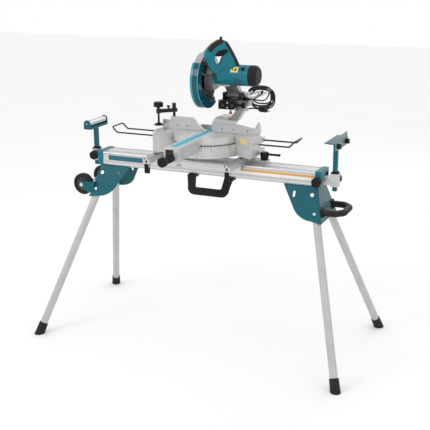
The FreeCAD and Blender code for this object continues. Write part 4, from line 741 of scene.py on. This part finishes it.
def coil_points():
    """Loose turns round the coil's centre, from the front to the back, each of its own size and shift."""
    wander = random.Random(11)
    count = int(COIL_TURNS) + 2
    sizes = [1.0] + [wander.uniform(0.52, 1.05) for _ in range(count)]
    shifts = [(0, 0)] + [(wander.uniform(-9, 9), wander.uniform(-9, 9)) for _ in range(count)]
    points = []
    start = math.radians(40)
    for i in range(1, int(COIL_TURNS * COIL_STEPS) + 1):
        turn = i / COIL_STEPS
        angle = start + 2 * math.pi * turn
        lower = int(turn)
        share = 0.5 - 0.5 * math.cos(math.pi * (turn - lower))
        size = sizes[lower] * (1 - share) + sizes[lower + 1] * share
        shift = [shifts[lower][k] * (1 - share) + shifts[lower + 1][k] * share for k in (0, 1)]
        squareness = 1 / (abs(math.cos(angle)) ** 3 + abs(math.sin(angle)) ** 3) ** (1 / 3)
        points.append((COIL_X + COIL_REACH_X * size * squareness * math.cos(angle) + shift[0],
                       COIL_FRONT + COIL_PITCH * turn,
                       COIL_Z + COIL_REACH_Z * size * squareness * math.sin(angle) + shift[1]))
    return points


def make_cord():
    """The mains cord on one spline and the sleeves at its two ends."""
    points = LEAD + coil_points() + TAIL
    curve = bpy.data.curves.new("mains_cord", "CURVE")
    curve.dimensions = "3D"
    curve.bevel_depth = CORD_DIAMETER / 2 * MM
    curve.bevel_resolution = 4
    curve.resolution_u = 6
    curve.use_fill_caps = True
    spline = curve.splines.new("NURBS")
    spline.points.add(len(points) - 1)
    for point, place in zip(spline.points, points):
        point.co = (place[0] * MM, place[1] * MM, place[2] * MM, 1)
    spline.order_u = 3
    spline.use_endpoint_u = True
    cord = bpy.data.objects.new("mains_cord", curve)
    bpy.context.scene.collection.objects.link(cord)
    paint(cord, "cord_rubber")
    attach(cord, "slide")
    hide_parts("cord_lead", "cord_coil")
    ribs = [(8.4 - 0.55 * i if i % 2 else 7.4 - 0.5 * i, -3.2 * i) for i in range(9)]
    relief = turned("plug_sleeve", "slide", "rubber", [(0.01, 0)] + ribs + [(4.05, -27), (0.01, -27)], "X",
                    (104.5, 422, 1114), steps=28)
    ribs = [(6.9 - 0.3 * i if i % 2 else 6.2 - 0.28 * i, 3 * i) for i in range(7)]
    gland = turned("gland_sleeve", "slide", "rubber", [(0.01, 0)] + ribs + [(4.1, 20), (0.01, 20)], "X",
                   (142.8, 150.6, 1208.8), steps=28)


def make_small_parts():
    """Fluted mitre grip, a black sheet of painted shade in the table's nose recess, extrusion lines and the
    brackets' end skins.
    """
    low = span_of("mitre_grip")[0]
    centre = centre_of("mitre_grip")
    profile = [(0.01, 0), (18.5, 0), (22.5, 4), (22.5, 26), (16.5, 34), (13, 40), (13, 58), (18, 64),
               (18, 97), (12, 99), (6, 99), (6, 130), (0.01, 130)]
    turned("mitre_grip_fluted", "mitre_grip", "black_plastic", profile, "Y",
           (centre.x, low.y, centre.z), steps=96, flutes=12, flute_depth=1.8, flute_span=(5, 27),
           replaces=("mitre_grip",))
    # Black sheet at the back of the nose recess: painted shade where the real nose is an open window.
    solids("nose_window_shade", "turntable", "print_black",
           [(rectangle(-31.5, 10.5, 1000.5, 1052.5), "XZ", -387.5, -386.2)], 0.2)
    lines = []
    for z in (861, 874, 878, 914, 918):
        lines.append((rectangle(-574, 574, z - 0.5, z + 0.5), "XZ", -60.12, -59.5))
    solids("beam_lines", "stand", "groove_grey", lines, 0)
    bracket_x, bracket_splay, beam_bottom = 588.15, 0.2605, 855
    for name, sign in (("right", 1), ("left", -1)):
        work = bmesh.new()
        corners = []
        for z, half in ((851, 55), (700, 116)):
            x = sign * (bracket_x + bracket_splay * (beam_bottom - z))
            for y in (-half, half):
                for out in (0, 0.7):
                    corners.append(work.verts.new(((x + sign * out) * MM, y * MM, z * MM)))
        for face in ((0, 2, 6, 4), (1, 5, 7, 3), (0, 1, 3, 2), (4, 6, 7, 5), (0, 4, 5, 1), (2, 3, 7, 6)):
            work.faces.new([corners[k] for k in face])
        bmesh.ops.recalc_face_normals(work, faces=work.faces)
        label = "bracket_skin_" + name
        add_piece(label, finish_mesh(work, label), "stand", "closure_teal")


for entry in frame["record"]["subparts"]:
    paint(frame["nodes"][entry["node"]], entry["material_slot"])

make_camera()
make_studio()
make_beam_strips()
make_collars()
make_wheel_hubs()
make_table_details()
make_fence_details()
make_handle()
make_gear_housing()
make_guard()
make_slide_details()
make_cord()
make_small_parts()
